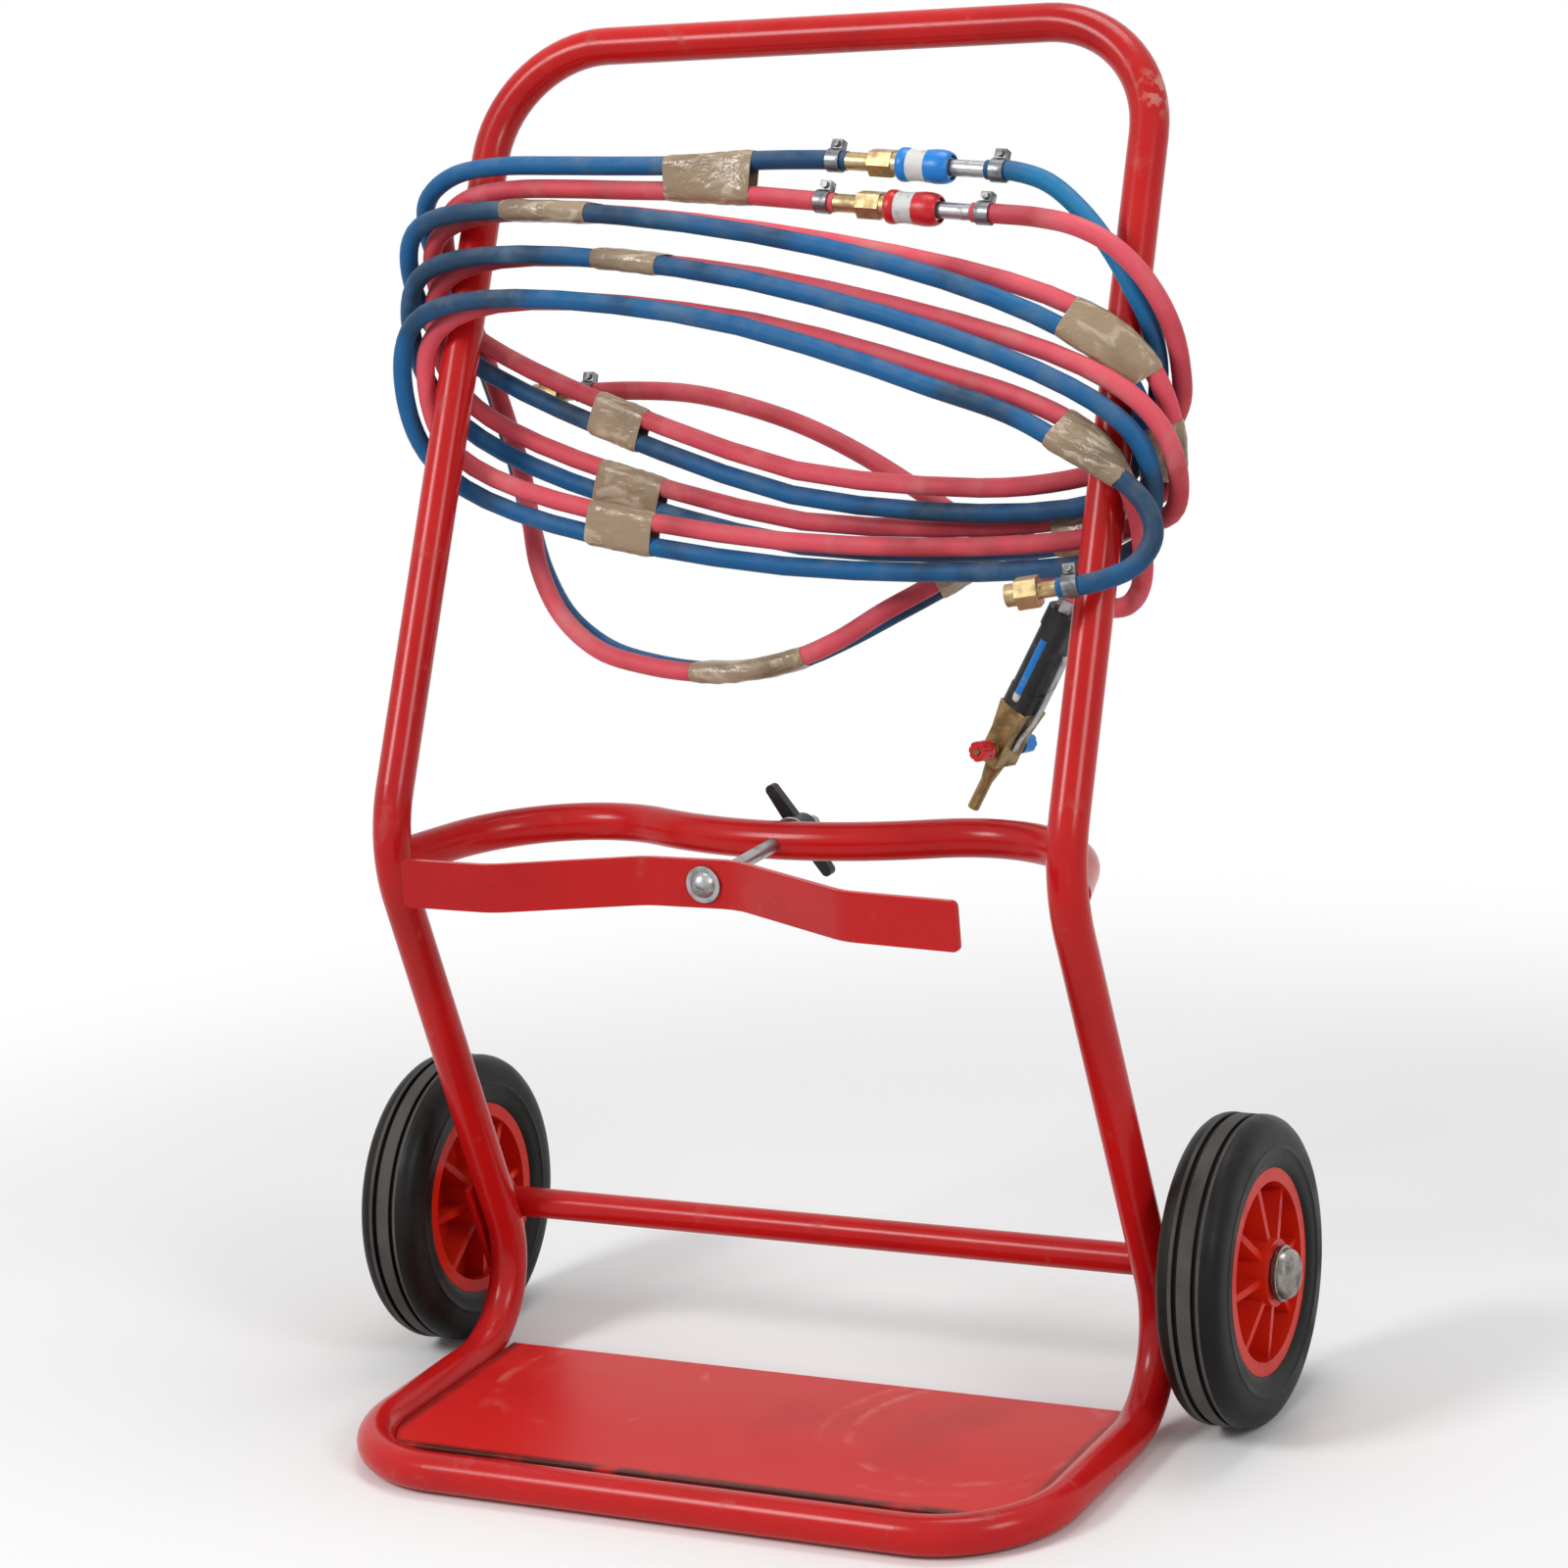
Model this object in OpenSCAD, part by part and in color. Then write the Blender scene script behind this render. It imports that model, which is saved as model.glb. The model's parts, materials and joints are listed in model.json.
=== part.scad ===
// Two-cylinder gas trolley of bent tube, with a clamped strap, two wheels and a wound twin hose set

/* [Frame] */
// Outside diameter of the frame tube
tube_od = 32; // [30:1:34]
// Wall of the frame tube
tube_wall = 2.5; // [2:0.5:4]
// Distance between the side tubes, centre to centre
frame_w = 610; // [590:5:630]
// Height of the handle's top above the floor
frame_h = 1130; // [1090:5:1170]
// Depth from the front bar's front to the handle's back
frame_d = 518; // [500:2:536]
// Distance of the lower corner behind the front bar
heel_run = 329; // [315:1:343]
// Distance of the knee corner behind the front bar
knee_run = 171; // [160:1:182]
// Height of the knee corner
knee_h = 486; // [470:1:500]
// Bend radius of the base corners
base_r = 95; // [70:1:110]
// Bend radius at the lower corners
heel_r = 80; // [60:1:90]
// Bend radius at the knees
knee_r = 120; // [80:1:140]
// Bend radius at the handle
handle_r = 100; // [70:1:110]

/* [Base plate] */
// Thickness of the base plate
plate_t = 3; // [2:0.5:5]
// Height of the plate's top
plate_top = 18; // [15:1:22]
// Gap between the front bar and the plate
plate_gap = 24; // [15:1:35]
// Depth of the plate
plate_d = 225; // [200:1:240]
// Height of the plate's folded edges
plate_lip = 12; // [8:1:14]

/* [Wheels] */
// Outside diameter of the wheels
wheel_d = 250; // [230:1:270]
// Width of the tyre
tyre_w = 56; // [44:1:62]
// Diameter where the tyre sits on the rim
rim_d = 166; // [150:1:180]
// Gap between the side tube and the tyre
wheel_gap = 19; // [18:1:30]
// Number of spokes on each face of the rim
spokes = 8; // [5:1:10]
// Length of the hub
hub_len = 62; // [58:1:66]
// Diameter of the hub
hub_d = 54; // [46:1:60]
// Diameter of the axle
axle_d = 20; // [16:1:22]
// Outside diameter of the tube round the axle
axle_tube_od = 26; // [25:1:30]
// Diameter of the hub cap
cap_d = 45; // [40:1:48]
// Height of the hub cap
cap_h = 14; // [11:1:18]

/* [Clamp] */
// Height of the clamp's middle below the knee corner
clamp_drop = 14; // [8:1:20]
// Distance of each bay's middle from the centre line
bay_x = 172; // [160:1:180]
// Bend radius of each bay
bay_r = 120; // [112:1:124]
// Distance of the bays' centres behind the knee corner
bay_back = 38; // [30:1:44]
// Distance of the cradle's middle behind the knee corner
bump_back = 124; // [118:1:128]
// Thickness of the strap
strap_t = 5; // [4:0.5:6]
// Height of the strap
strap_h = 40; // [30:1:50]
// Distance of the strap's middle in front of the knee corner
strap_front = 9; // [4:1:14]
// Diameter of the clamp bolt
bolt_d = 12; // [10:1:14]
// Diameter of the bolt's round head
head_d = 22; // [19:1:26]
// Diameter of the washers on the bolt
washer_d = 30; // [27:1:32]
// Diameter of the lever nut's hub
nut_hub_d = 26; // [24:1:30]
// Length of each lever arm from the bolt's axis
arm_len = 45; // [38:1:60]
// Angle of the lever arms from the horizontal
arm_angle = 124; // [0:1:180]

/* [Hoses] */
// Outside diameter of the hoses
hose_od = 16; // [14:1:16]
// Diameter of the coupler sleeves
sleeve_d = 28; // [27:1:32]
// Length of the coupler sleeves
sleeve_len = 47; // [44:1:52]
// Diameter of the valve knobs
knob_d = 17; // [15:1:20]
// Length of the torch handle
handle_len = 95; // [85:1:110]

/* [Hidden] */

// Fits shared by all pieces
weld_gap = 0.15;
seat_gap = 0.2;
seam_gap = 0.02;
seam_len = 2;
fit = 0.08;
face_gap = 0.3;
$fn = 64;

// Colours
paint_red = "#b3161b";
plastic_red = "#d2321f";
rubber_black = "#262626";
zinc = "#b9bcc0";
brass = "#b5935a";
black = "#1c1c1e";
hose_blue = "#2c5a8c";
hose_red = "#b4545a";

// Frame corners on the right side
tube_r = tube_od / 2;
tube_id = tube_od - 2 * tube_wall;
side_x = frame_w / 2;
front_y = tube_r - frame_d / 2;
heel_y = front_y + heel_run;
knee_y = front_y + knee_run;
handle_y = -front_y;
handle_z = frame_h - tube_r;
bend_r = [0, handle_r, knee_r, heel_r, base_r, 0];
function corners(s) = [[0, handle_y, handle_z], [s * side_x, handle_y, handle_z],
    [s * side_x, knee_y, knee_h], [s * side_x, heel_y, tube_r], [s * side_x, front_y, tube_r],
    [0, front_y, tube_r]];

// Wheel and axle places
leg_dir = unit([0, knee_y - heel_y, knee_h - tube_r]);
leg_back = [0, leg_dir.z, -leg_dir.y];
axle_tube_r = axle_tube_od / 2;
axle_off = tube_r + axle_tube_r + weld_gap;
axle_z = wheel_d / 2;
axle_along = (axle_z - tube_r - axle_off * leg_back.z) / leg_dir.z;
axle_y = heel_y + axle_along * leg_dir.y + axle_off * leg_back.y;
axle_r = axle_d / 2;
wheel_x = side_x + tube_r + wheel_gap + tyre_w / 2;
hub_in = wheel_x - hub_len / 2;
hub_out = wheel_x + hub_len / 2;
bush_wall = 3;
bush_r = axle_r + fit + bush_wall;
axle_washer_t = 2.5;
axle_washer_d = axle_d + 16;
tube_end = hub_in - face_gap - axle_washer_t;
cap_in = hub_out + face_gap + axle_washer_t;
cap_bore = 9;
axle_end = cap_in + cap_bore;
axle_plate_t = 6;
axle_plate_r = axle_tube_r + 9;

// Clamp places
clamp_z = knee_h - clamp_drop;
bump_y = knee_y + bump_back;
bay_y = knee_y + bay_back;
bay_rise = bump_back - bay_back;
bump_r = (bay_x * bay_x + bay_rise * bay_rise - bay_r * bay_r) / (2 * (bay_r - bay_rise));
bay_angle = atan2(bay_x, bump_r + bay_rise);
arm_slope = 17;
strap_y = knee_y - strap_front;
strap_bend = 60;
strap_gap = 0.3;
strap_washer_t = 2.5;
head_y = strap_y - strap_t / 2 - strap_gap - strap_washer_t;
head_h = 7;
bolt_r = bolt_d / 2;
nut_washer_t = 2.5;
nut_seat = bump_y + tube_r + washer_d * washer_d / 8 / (bump_r - tube_r) + weld_gap;
nut_y = nut_seat + nut_washer_t + face_gap;
nut_len = 22;
insert_len = 18;
insert_r = bolt_r + 4;
arm_w = 12;
arm_tip_w = 9;
arm_t = 9;
bolt_end = nut_y + nut_len + 18;

// Hose coil, in across, up and out along the upper side tubes
lean_dir = unit([0, handle_y - knee_y, handle_z - knee_h]);
out_dir = [0, -lean_dir.z, lean_dir.y];
knee = [0, knee_y, knee_h];

// Half width and rise of the frame at which the hose points below are chosen
route_half = 305;
route_rise = 702;
wide = side_x / route_half;
tall = norm([0, handle_y - knee_y, handle_z - knee_h]) / route_rise;
hose_r = hose_od / 2;
coil_reach = route_half + tube_r + hose_od + 4;
coil_round = 90;
coil_out = tube_r + hose_od + 25.5;
coil_shift = 2.2;
grow_right = 12;
grow_left = 5;
front_top = 508;
front_pitch = 38;
front_spread = 0.04;
front_tilt = 0.16;
back_top = 327;
back_pitch = 41;
back_close = 6;
back_tilt = 0.056;
back_dip = 0.07;
back_rise = 0.254;
back_fall = 0.1;
mid_depth = 29;
twin = hose_r + 2.2;
twin_lift = 1;
twin_tilt = 0.4;
ring_step = 15;
ring_crowd = 14;
hose_sides = 8;

// Angles of the coil at which each hose joins its hand-laid ends
blue_from = 60;
red_from = 75;
coil_to = 1005;
blue_start = [[190, 560, 46], [214, 558, 46], [244, 548, 44], [272, 526, 39], [297, 497, 32],
    [317, 466, 24], [331, 436, 9], [333, 402, -10], [322, 362, -27]];
red_start = [[180, 526, 42], [204, 524, 42], [240, 518, 48], [276, 508, 53], [308, 492, 49],
    [333, 468, 35], [348, 440, 15], [351, 412, -8], [344, 386, -32], [319, 361, -49], [274, 338, -52]];
blue_end = [[240, 354, 56], [287, 331, 49], [326, 311, 44], [354, 288, 40], [364, 262, 38],
    [352, 238, 40], [324, 224, 44], [294, 218, 47]];
red_end = [[244, 370, 46], [290, 350, 37], [320, 324, 28], [335, 293, 12], [336, 262, -11],
    [325, 240, -39], [300, 232, -66], [262, 242, -88], [215, 267, -102], [160, 297, -106],
    [100, 333, -104], [42, 365, -98], [-15, 390, -92], [-72, 407, -87], [-125, 417, -83],
    [-180, 419, -80], [-232, 417, -78]];
blue_run = [[65, 572, 46], [38, 574, 46], [-20, 575, 47], [-80, 572, 50], [-145, 573, 52],
    [-205, 575, 53], [-262, 577, 51], [-310, 573, 44], [-345, 558, 26], [-358, 535, -4],
    [-353, 504, -39], [-340, 465, -71], [-323, 416, -97], [-304, 362, -114], [-285, 312, -120],
    [-263, 268, -120], [-231, 229, -118], [-186, 201, -115], [-136, 188, -112], [-88, 183, -111],
    [-44, 185, -111], [0, 196, -113], [38, 215, -117], [74, 239, -125], [108, 264, -136],
    [140, 290, -144], [168, 315, -145], [200, 330, -141], [231, 323, -134], [250, 304, -128],
    [250, 288, -129], [236, 268, -140]];
red_run = [[57, 538, 42], [30, 541, 42], [-25, 547, 42], [-80, 552, 42], [-140, 555, 42],
    [-195, 558, 42], [-250, 560, 40], [-296, 557, 33], [-328, 544, 17], [-341, 521, -10],
    [-336, 490, -37], [-323, 451, -61], [-306, 403, -82], [-288, 355, -95], [-273, 310, -99],
    [-257, 266, -99], [-228, 225, -98], [-185, 195, -96], [-136, 182, -93], [-88, 177, -93],
    [-44, 179, -93], [0, 190, -95], [38, 209, -99], [72, 235, -106], [108, 262, -118],
    [140, 288, -126], [168, 312, -127], [200, 326, -123], [230, 319, -116], [247, 300, -111],
    [246, 283, -113], [232, 262, -124]];

function unit(v) = v / norm(v);
function last(p, i = 1) = p[len(p) - i];
function put(p, x, y, z) = [[x.x, y.x, z.x, p.x], [x.y, y.y, z.y, p.y], [x.z, y.z, z.z, p.z],
    [0, 0, 0, 1]];

// Placement with the local Z along d and the local X as near to x as square allows
function facing(p, d, x) = let (z = unit(d), y = unit(cross(z, x))) put(p, cross(y, z), y, z);

// Bent tube through corners c with bend radii r
function leg(c, i) = unit(c[i + 1] - c[i]);
function turn(c, i) = acos(leg(c, i - 1) * leg(c, i));
function setback(c, r, i) = i == 0 || i == len(c) - 1 ? 0 : r[i] * tan(turn(c, i) / 2);
function inward(c, i) = unit(leg(c, i) - (leg(c, i) * leg(c, i - 1)) * leg(c, i - 1));

module pipe_section(od, id) {
    difference() {
        circle(d = od);
        if (id > 0) circle(d = id);
    }
}

module bent_pipe(c, r, od, id) {
    u = inward(c, 1);
    multmatrix(facing(c[0], leg(c, 0), u)) pipe_run(c, r, od, id, 0, u, 0);
}

// One straight, then its bend, then the rest, each drawn from the end of the one before
module pipe_run(c, r, od, id, i, u, start) {
    d = leg(c, i);
    run = norm(c[i + 1] - c[i]) - setback(c, r, i) - setback(c, r, i + 1) - start;
    straight = run > 1 ? run : 0;
    if (straight > 0) translate([0, 0, start]) linear_extrude(straight) pipe_section(od, id);
    if (i + 2 < len(c)) {
        a = turn(c, i + 1);
        n = inward(c, i + 1);
        roll = 90 * round(atan2(cross(u, n) * d, u * n) / 90);
        bend = r[i + 1];
        translate([0, 0, start + straight]) rotate([0, 0, roll]) {
            bend_piece(bend, a, od, id);
            translate([bend, 0, 0]) rotate([0, a, 0]) translate([-bend, 0, 0]) {
                translate([0, 0, -seam_len / 2]) linear_extrude(seam_len)
                    pipe_section(od - 0.6 * (od - id) / 2, id + 0.6 * (od - id) / 2);
                pipe_run(c, r, od, id, i + 1, n * cos(a) - d * sin(a), seam_gap);
            }
        }
    }
}

// Bend that starts along Z and turns towards X
module bend_piece(bend, a, od, id) {
    multmatrix([[-1, 0, 0, bend], [0, 0, 1, 0], [0, 1, 0, 0], [0, 0, 0, 1]])
        rotate_extrude(angle = a) translate([bend, 0]) pipe_section(od, id);
}

module left_frame_tube() {
    color(paint_red) bent_pipe(corners(-1), bend_r, tube_od, tube_id);
}

module right_frame_tube() {
    color(paint_red) bent_pipe(corners(1), bend_r, tube_od, tube_id);
}

// Base plate between the side tubes, with front and rear edges folded down
module plate_outline() {
    half = side_x - tube_r - weld_gap;
    corner_x = side_x - base_r;
    corner_y = front_y + base_r;
    start = front_y + tube_r + plate_gap;
    intersection() {
        translate([-half, start]) square([2 * half, plate_d]);
        union() {
            translate([-half, corner_y]) square([2 * half, plate_d]);
            translate([-corner_x, front_y]) square([2 * corner_x, plate_d + base_r]);
            for (s = [-1, 1]) translate([s * corner_x, corner_y]) circle(r = base_r - tube_r - weld_gap);
        }
    }
}

module base_plate() {
    start = front_y + tube_r + plate_gap;
    corner_x = side_x - base_r;
    rear_half = side_x - tube_r - weld_gap;
    color(paint_red) {
        translate([0, 0, plate_top - plate_t]) linear_extrude(plate_t) plate_outline();
        translate([-corner_x, start, plate_top - plate_lip])
            cube([2 * corner_x, plate_t, plate_lip - plate_t / 2]);
        translate([-rear_half, start + plate_d - plate_t, plate_top - plate_lip])
            cube([2 * rear_half, plate_t, plate_lip - plate_t / 2]);
    }
}

// Wavy tube behind the cylinders, cut to the side tubes
bay_end = [bay_x + bay_r * cos(arm_slope), bay_y + bay_r * sin(arm_slope)];
bay_join = [bay_x - bay_r * sin(bay_angle), bay_y + bay_r * cos(bay_angle)];
bay_peak = bay_join + [cos(bay_angle), sin(bay_angle)] * bay_r * tan((90 + bay_angle - arm_slope) / 2);
arm_run = (side_x - bay_end.x) / sin(arm_slope);
arm_end = bay_end + [sin(arm_slope), -cos(arm_slope)] * arm_run;
bump_low = bay_join.y - bay_join.x * tan(bay_angle);
cradle_line = [[-arm_end.x, arm_end.y, clamp_z], [-bay_peak.x, bay_peak.y, clamp_z], [0, bump_low, clamp_z],
    [bay_peak.x, bay_peak.y, clamp_z], [arm_end.x, arm_end.y, clamp_z]];
module knee_bend(s, od) {
    c = corners(s);
    start = c[2] - leg(c, 1) * setback(c, bend_r, 2);
    multmatrix(facing(start, leg(c, 1), inward(c, 2))) bend_piece(knee_r, turn(c, 2), od, 0);
}

module cradle() {
    color(paint_red) difference() {
        bent_pipe(cradle_line, [0, bay_r, bump_r, bay_r, 0], tube_od, tube_id);
        for (s = [-1, 1]) knee_bend(s, tube_od + 2 * weld_gap);
        along_bolt(bump_y - tube_od) cylinder(r = bolt_r + fit, h = 2 * tube_od);
    }
}

// Axle parts
module along_axle(x) {
    translate([x, axle_y, axle_z]) rotate([0, 90, 0]) children();
}

module axle_tube() {
    color(paint_red) along_axle(-tube_end) linear_extrude(2 * tube_end)
        pipe_section(axle_tube_od, axle_d + 4 * fit);
}

module axle_plates() {
    start = side_x + tube_r + weld_gap;
    tilt = atan2(-leg_dir.y, leg_dir.z);
    plate_len = 84;
    plate_w = tube_od - 4;
    color(paint_red) for (s = [-1, 1]) translate([s > 0 ? start : -start - axle_plate_t, 0, 0])
        rotate([90, 0, 90]) linear_extrude(axle_plate_t) difference() {
            union() {
                translate([axle_y, axle_z]) circle(r = axle_plate_r);
                translate([axle_y - axle_off * leg_back.y, axle_z - axle_off * leg_back.z]) rotate(tilt)
                    translate([-plate_w / 2, -plate_len / 2]) square([plate_w, plate_len]);
                translate([axle_y, axle_z]) rotate(tilt) translate([-axle_off, -axle_tube_r])
                    square([axle_off, axle_tube_od]);
            }
            translate([axle_y, axle_z]) circle(d = axle_tube_od + 2 * weld_gap);
        }
}

module axle() {
    color(zinc) along_axle(-axle_end) cylinder(d = axle_d, h = 2 * axle_end);
}

module axle_washers() {
    color(zinc) for (x = [-cap_in, -tube_end - axle_washer_t, tube_end, hub_out + face_gap])
        along_axle(x) linear_extrude(axle_washer_t) pipe_section(axle_washer_d, axle_d + 4 * fit);
}

module hub_caps() {
    dome_r = (cap_d * cap_d / 4 + cap_h * cap_h) / (2 * cap_h);
    color(zinc) for (s = [0, 1]) mirror([s, 0, 0]) along_axle(cap_in) rotate_extrude() difference() {
        intersection() {
            translate([0, cap_h - dome_r]) circle(r = dome_r, $fn = 128);
            square([cap_d / 2, cap_h]);
        }
        square([axle_r + fit / 4, cap_bore]);
    }
}

// Wheel parts, drawn about the wheel's middle
module on_wheel(s) {
    along_axle(s * wheel_x) rotate([0, 0, 90]) children();
}

module tyre_ring() {
    seat = rim_d / 2 + fit / 4;
    crown = wheel_d / 2;
    shoulder = 13;
    flank = tyre_w / 2;
    bead = 5;
    bead_in = 3;
    groove = 4;
    groove_x = tyre_w / 7;
    bend = [for (a = [0 : 15 : 90]) shoulder * [cos(a), sin(a)]];
    top = [for (p = bend) [crown - shoulder + p.x, flank - shoulder + p.y]];
    side = concat(top, [[seat + bead, flank], [seat, flank - bead_in]]);
    rotate_extrude($fn = 96) difference() {
        polygon(concat(side, [for (p = backwards(side)) [p.x, -p.y]]));
        for (s = [-1, 1]) translate([crown - groove, s * groove_x - groove / 2]) square([2 * groove, groove]);
    }
}

module tyre_left() {
    color(rubber_black) on_wheel(-1) tyre_ring();
}

module tyre_right() {
    color(rubber_black) on_wheel(1) tyre_ring();
}

module rim_solid() {
    rim_r = rim_d / 2;
    ring_t = 11;
    ring_half = tyre_w / 2 - 4;
    hub_r = hub_d / 2;
    hub_half = hub_len / 2;
    bore = bush_r + fit / 4;
    web = 6;
    spoke_t = 6;
    spoke_in = 5;
    sink = 2;
    rotate_extrude($fn = 96) {
        translate([bore, -hub_half]) square([hub_r - bore, hub_len]);
        translate([hub_r - sink, -web / 2]) square([rim_r - ring_t - hub_r + 2 * sink, web]);
        translate([rim_r - ring_t, -ring_half]) square([ring_t, 2 * ring_half]);
    }
    for (i = [0 : spokes - 1]) rotate([90, 0, i * 360 / spokes])
        translate([0, 0, -spoke_t / 2]) linear_extrude(spoke_t)
        polygon([[hub_r - sink, -hub_half + spoke_in], [rim_r - ring_t + sink, -ring_half + spoke_in],
            [rim_r - ring_t + sink, ring_half - spoke_in], [hub_r - sink, hub_half - spoke_in]]);
}

module rim_left() {
    color(plastic_red) on_wheel(-1) rim_solid();
}

module rim_right() {
    color(plastic_red) on_wheel(1) rim_solid();
}

module bush_ring() {
    translate([0, 0, -hub_len / 2]) linear_extrude(hub_len) pipe_section(2 * bush_r, axle_d + 2 * fit);
}

module bush_left() {
    color(black) on_wheel(-1) bush_ring();
}

module bush_right() {
    color(black) on_wheel(1) bush_ring();
}

// Clamp parts, the bolt running along Y in the middle
module along_bolt(y) {
    translate([0, y, clamp_z]) rotate([-90, 0, 0]) children();
}

// Strap middle line, as corners from the left end to the right end
strap_line = [[-256, -43], [-172, -46], [-54, 0], [28, 0], [155, -67], [257, -78]];
function strap_corner(i) = [strap_line[i].x * wide, strap_line[i].y];
function strap_leg(i) = unit(strap_corner(i + 1) - strap_corner(i));
function strap_turn(i) = let (a = strap_leg(i - 1), b = strap_leg(i)) asin(a.x * b.y - a.y * b.x);
function strap_arc(i, off) = let (t = strap_turn(i), d = strap_leg(i - 1), q = sign(t),
    n = q * [-d.y, d.x], c = strap_corner(i) - d * strap_bend * tan(abs(t) / 2) + n * strap_bend)
    [for (k = [0 : 4]) let (a = t * k / 4, m = n * cos(a) + q * [-n.y, n.x] * sin(abs(a)))
        c - m * (strap_bend - q * off)];
function strap_side(off) = let (a = strap_leg(0), b = strap_leg(4)) concat(
    [strap_corner(0) + off * [-a.y, a.x]], [for (i = [1 : 4]) each strap_arc(i, off)],
    [strap_corner(5) + off * [-b.y, b.x]]);
function backwards(p) = [for (i = [len(p) - 1 : -1 : 0]) p[i]];

module clamp_strap() {
    color(paint_red) difference() {
        translate([0, strap_y, clamp_z - strap_h / 2]) linear_extrude(strap_h)
            polygon(concat(strap_side(strap_t / 2), backwards(strap_side(-strap_t / 2))));
        along_bolt(strap_y - 2 * strap_t) cylinder(r = bolt_r + fit, h = 4 * strap_t);
    }
}

module clamp_bolt() {
    dome_r = (head_d * head_d / 4 + head_h * head_h) / (2 * head_h);
    slot_w = 2.5;
    color(zinc) {
        along_bolt(head_y) cylinder(r = bolt_r, h = bolt_end - head_y);
        difference() {
            along_bolt(head_y) mirror([0, 0, 1]) rotate_extrude() intersection() {
                translate([0, head_h - dome_r]) circle(r = dome_r);
                square([head_d / 2, head_h]);
            }
            along_bolt(head_y - head_h) rotate([0, 0, 25]) cube([head_d, slot_w, 4], center = true);
        }
    }
}

module strap_washer() {
    color(zinc) along_bolt(head_y) linear_extrude(strap_washer_t) pipe_section(washer_d, bolt_d + 2 * fit);
}

module nut_washer() {
    color(zinc) along_bolt(nut_y - face_gap - nut_washer_t) linear_extrude(nut_washer_t)
        pipe_section(washer_d, bolt_d + 2 * fit);
}

module lever_nut() {
    arm_start = nut_hub_d / 2 - 4;
    tip = arm_len - arm_tip_w / 2;
    color(black) difference() {
        union() {
            along_bolt(nut_y) cylinder(d = nut_hub_d, h = nut_len);
            for (a = [0, 180]) along_bolt(nut_y + nut_len - arm_t - 2)
                rotate([0, 0, -arm_angle + a]) linear_extrude(arm_t) {
                    polygon([[arm_start, -arm_w / 2], [tip, -arm_tip_w / 2], [tip, arm_tip_w / 2],
                        [arm_start, arm_w / 2]]);
                    translate([tip, 0]) circle(d = arm_tip_w);
                }
        }
        along_bolt(nut_y - 1) cylinder(r = insert_r + fit / 4, h = insert_len + 1);
        along_bolt(nut_y - 1) cylinder(r = bolt_r + 4 * fit, h = nut_len + 2);
    }
}

module nut_insert() {
    color(zinc) along_bolt(nut_y) linear_extrude(insert_len) pipe_section(2 * insert_r, bolt_d + 2 * fit);
}

// Hose coil formula: across, up and out at angle t, then as a point in space
function coil_x(t) = let (c = cos(t), turns = t / 360,
    grow = c > 0 ? grow_right * max(0, 1 - abs(turns - 2)) : grow_left * (3 - turns))
    (coil_reach + grow - coil_round) * sin(90 * c) + coil_round * c;
function front_up(t, x) = front_top - (front_pitch + front_spread * max(0, x)) * (t - 270) / 360
    - front_tilt * x;
function back_up(n, x) = back_top - back_pitch * n + back_close * n * n - back_tilt * x
    - back_dip * max(0, 1 - n) * max(0, x) + (back_rise - back_fall * n) * max(0, -x);
function coil(t) = let (x = coil_x(t), n = (t - 90) / 360, w = (1 + sin(t)) / 2,
    deep = mid_depth * max(0, 1 - 4 * (n - 1) * (n - 1)))
    [x, (1 - w) * front_up(t, x) + w * back_up(n, x), coil_shift - coil_out * sin(t) - deep * w];
function twin_dir(t) = let (d = unit(coil(t + 1) - coil(t - 1)), w = 1 + sin(t),
    o = [1, twin_lift * (cos(t) > 0 ? min(1, w) : w / 2), twin_tilt * sin(t)])
    square_to(o, d);
function strand(u, s) = let (t = u - ring_crowd * sin(2 * u)) coil(t) + s * twin * twin_dir(t);
function strands(from, s) = [for (u = [from : ring_step : coil_to]) strand(u, s)];
function space(p) = [p.x * wide, 0, 0] + knee + p.y * tall * lean_dir + p.z * out_dir;
function route(p) = [for (q = p) space(q)];

blue_supply = route(concat(blue_start, strands(blue_from, -1), blue_end));
red_supply = route(concat(red_start, strands(red_from, 1), red_end));
blue_torch = route(blue_run);
red_torch = route(red_run);

// Tube swept along points p
function heading(p, i) = i == 0 ? unit(p[1] - p[0]) : i == len(p) - 1 ? unit(p[i] - p[i - 1])
    : unit(unit(p[i] - p[i - 1]) + unit(p[i + 1] - p[i]));
function square_to(n, d) = unit(n - (n * d) * d);
function carry(h, i, n) = concat([n], i + 1 < len(h) ? carry(h, i + 1, square_to(n, h[i + 1])) : []);
module hose(p) {
    h = [for (i = [0 : len(p) - 1]) heading(p, i)];
    n = carry(h, 0, square_to(out_dir, h[0]));
    m = hose_sides;
    rings = [for (i = [0 : len(p) - 1]) for (k = [0 : m - 1]) let (a = 360 * k / m)
        p[i] + hose_r * (cos(a) * n[i] + sin(a) * cross(h[i], n[i]))];
    skin = [for (i = [0 : len(p) - 2]) for (k = [0 : m - 1]) let (j = (k + 1) % m)
        each [[i * m + k, (i + 1) * m + k, i * m + j], [i * m + j, (i + 1) * m + k, (i + 1) * m + j]]];
    first = [[for (k = [0 : m - 1]) k]];
    end = [[for (k = [m - 1 : -1 : 0]) (len(p) - 1) * m + k]];
    polyhedron(points = rings, faces = concat(first, skin, end), convexity = 10);
    echo(least_gap = least_gap(p) - hose_od);
}

// Least distance between stretches of the same tube that are not neighbours
function to_leg(q, a, b) = let (d = b - a, u = ((q - a) * d) / (d * d))
    norm(q - a - min(1, max(0, u)) * d);
function least_gap(p) = min([for (i = [0 : len(p) - 2]) for (j = [0 : len(p) - 2]) if (abs(i - j) > 3)
    for (u = [0, 0.25, 0.5, 0.75]) to_leg(p[i] + u * (p[i + 1] - p[i]), p[j], p[j + 1])]);

module hose_blue_supply() {
    color(hose_blue) hose(blue_supply);
}

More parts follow.
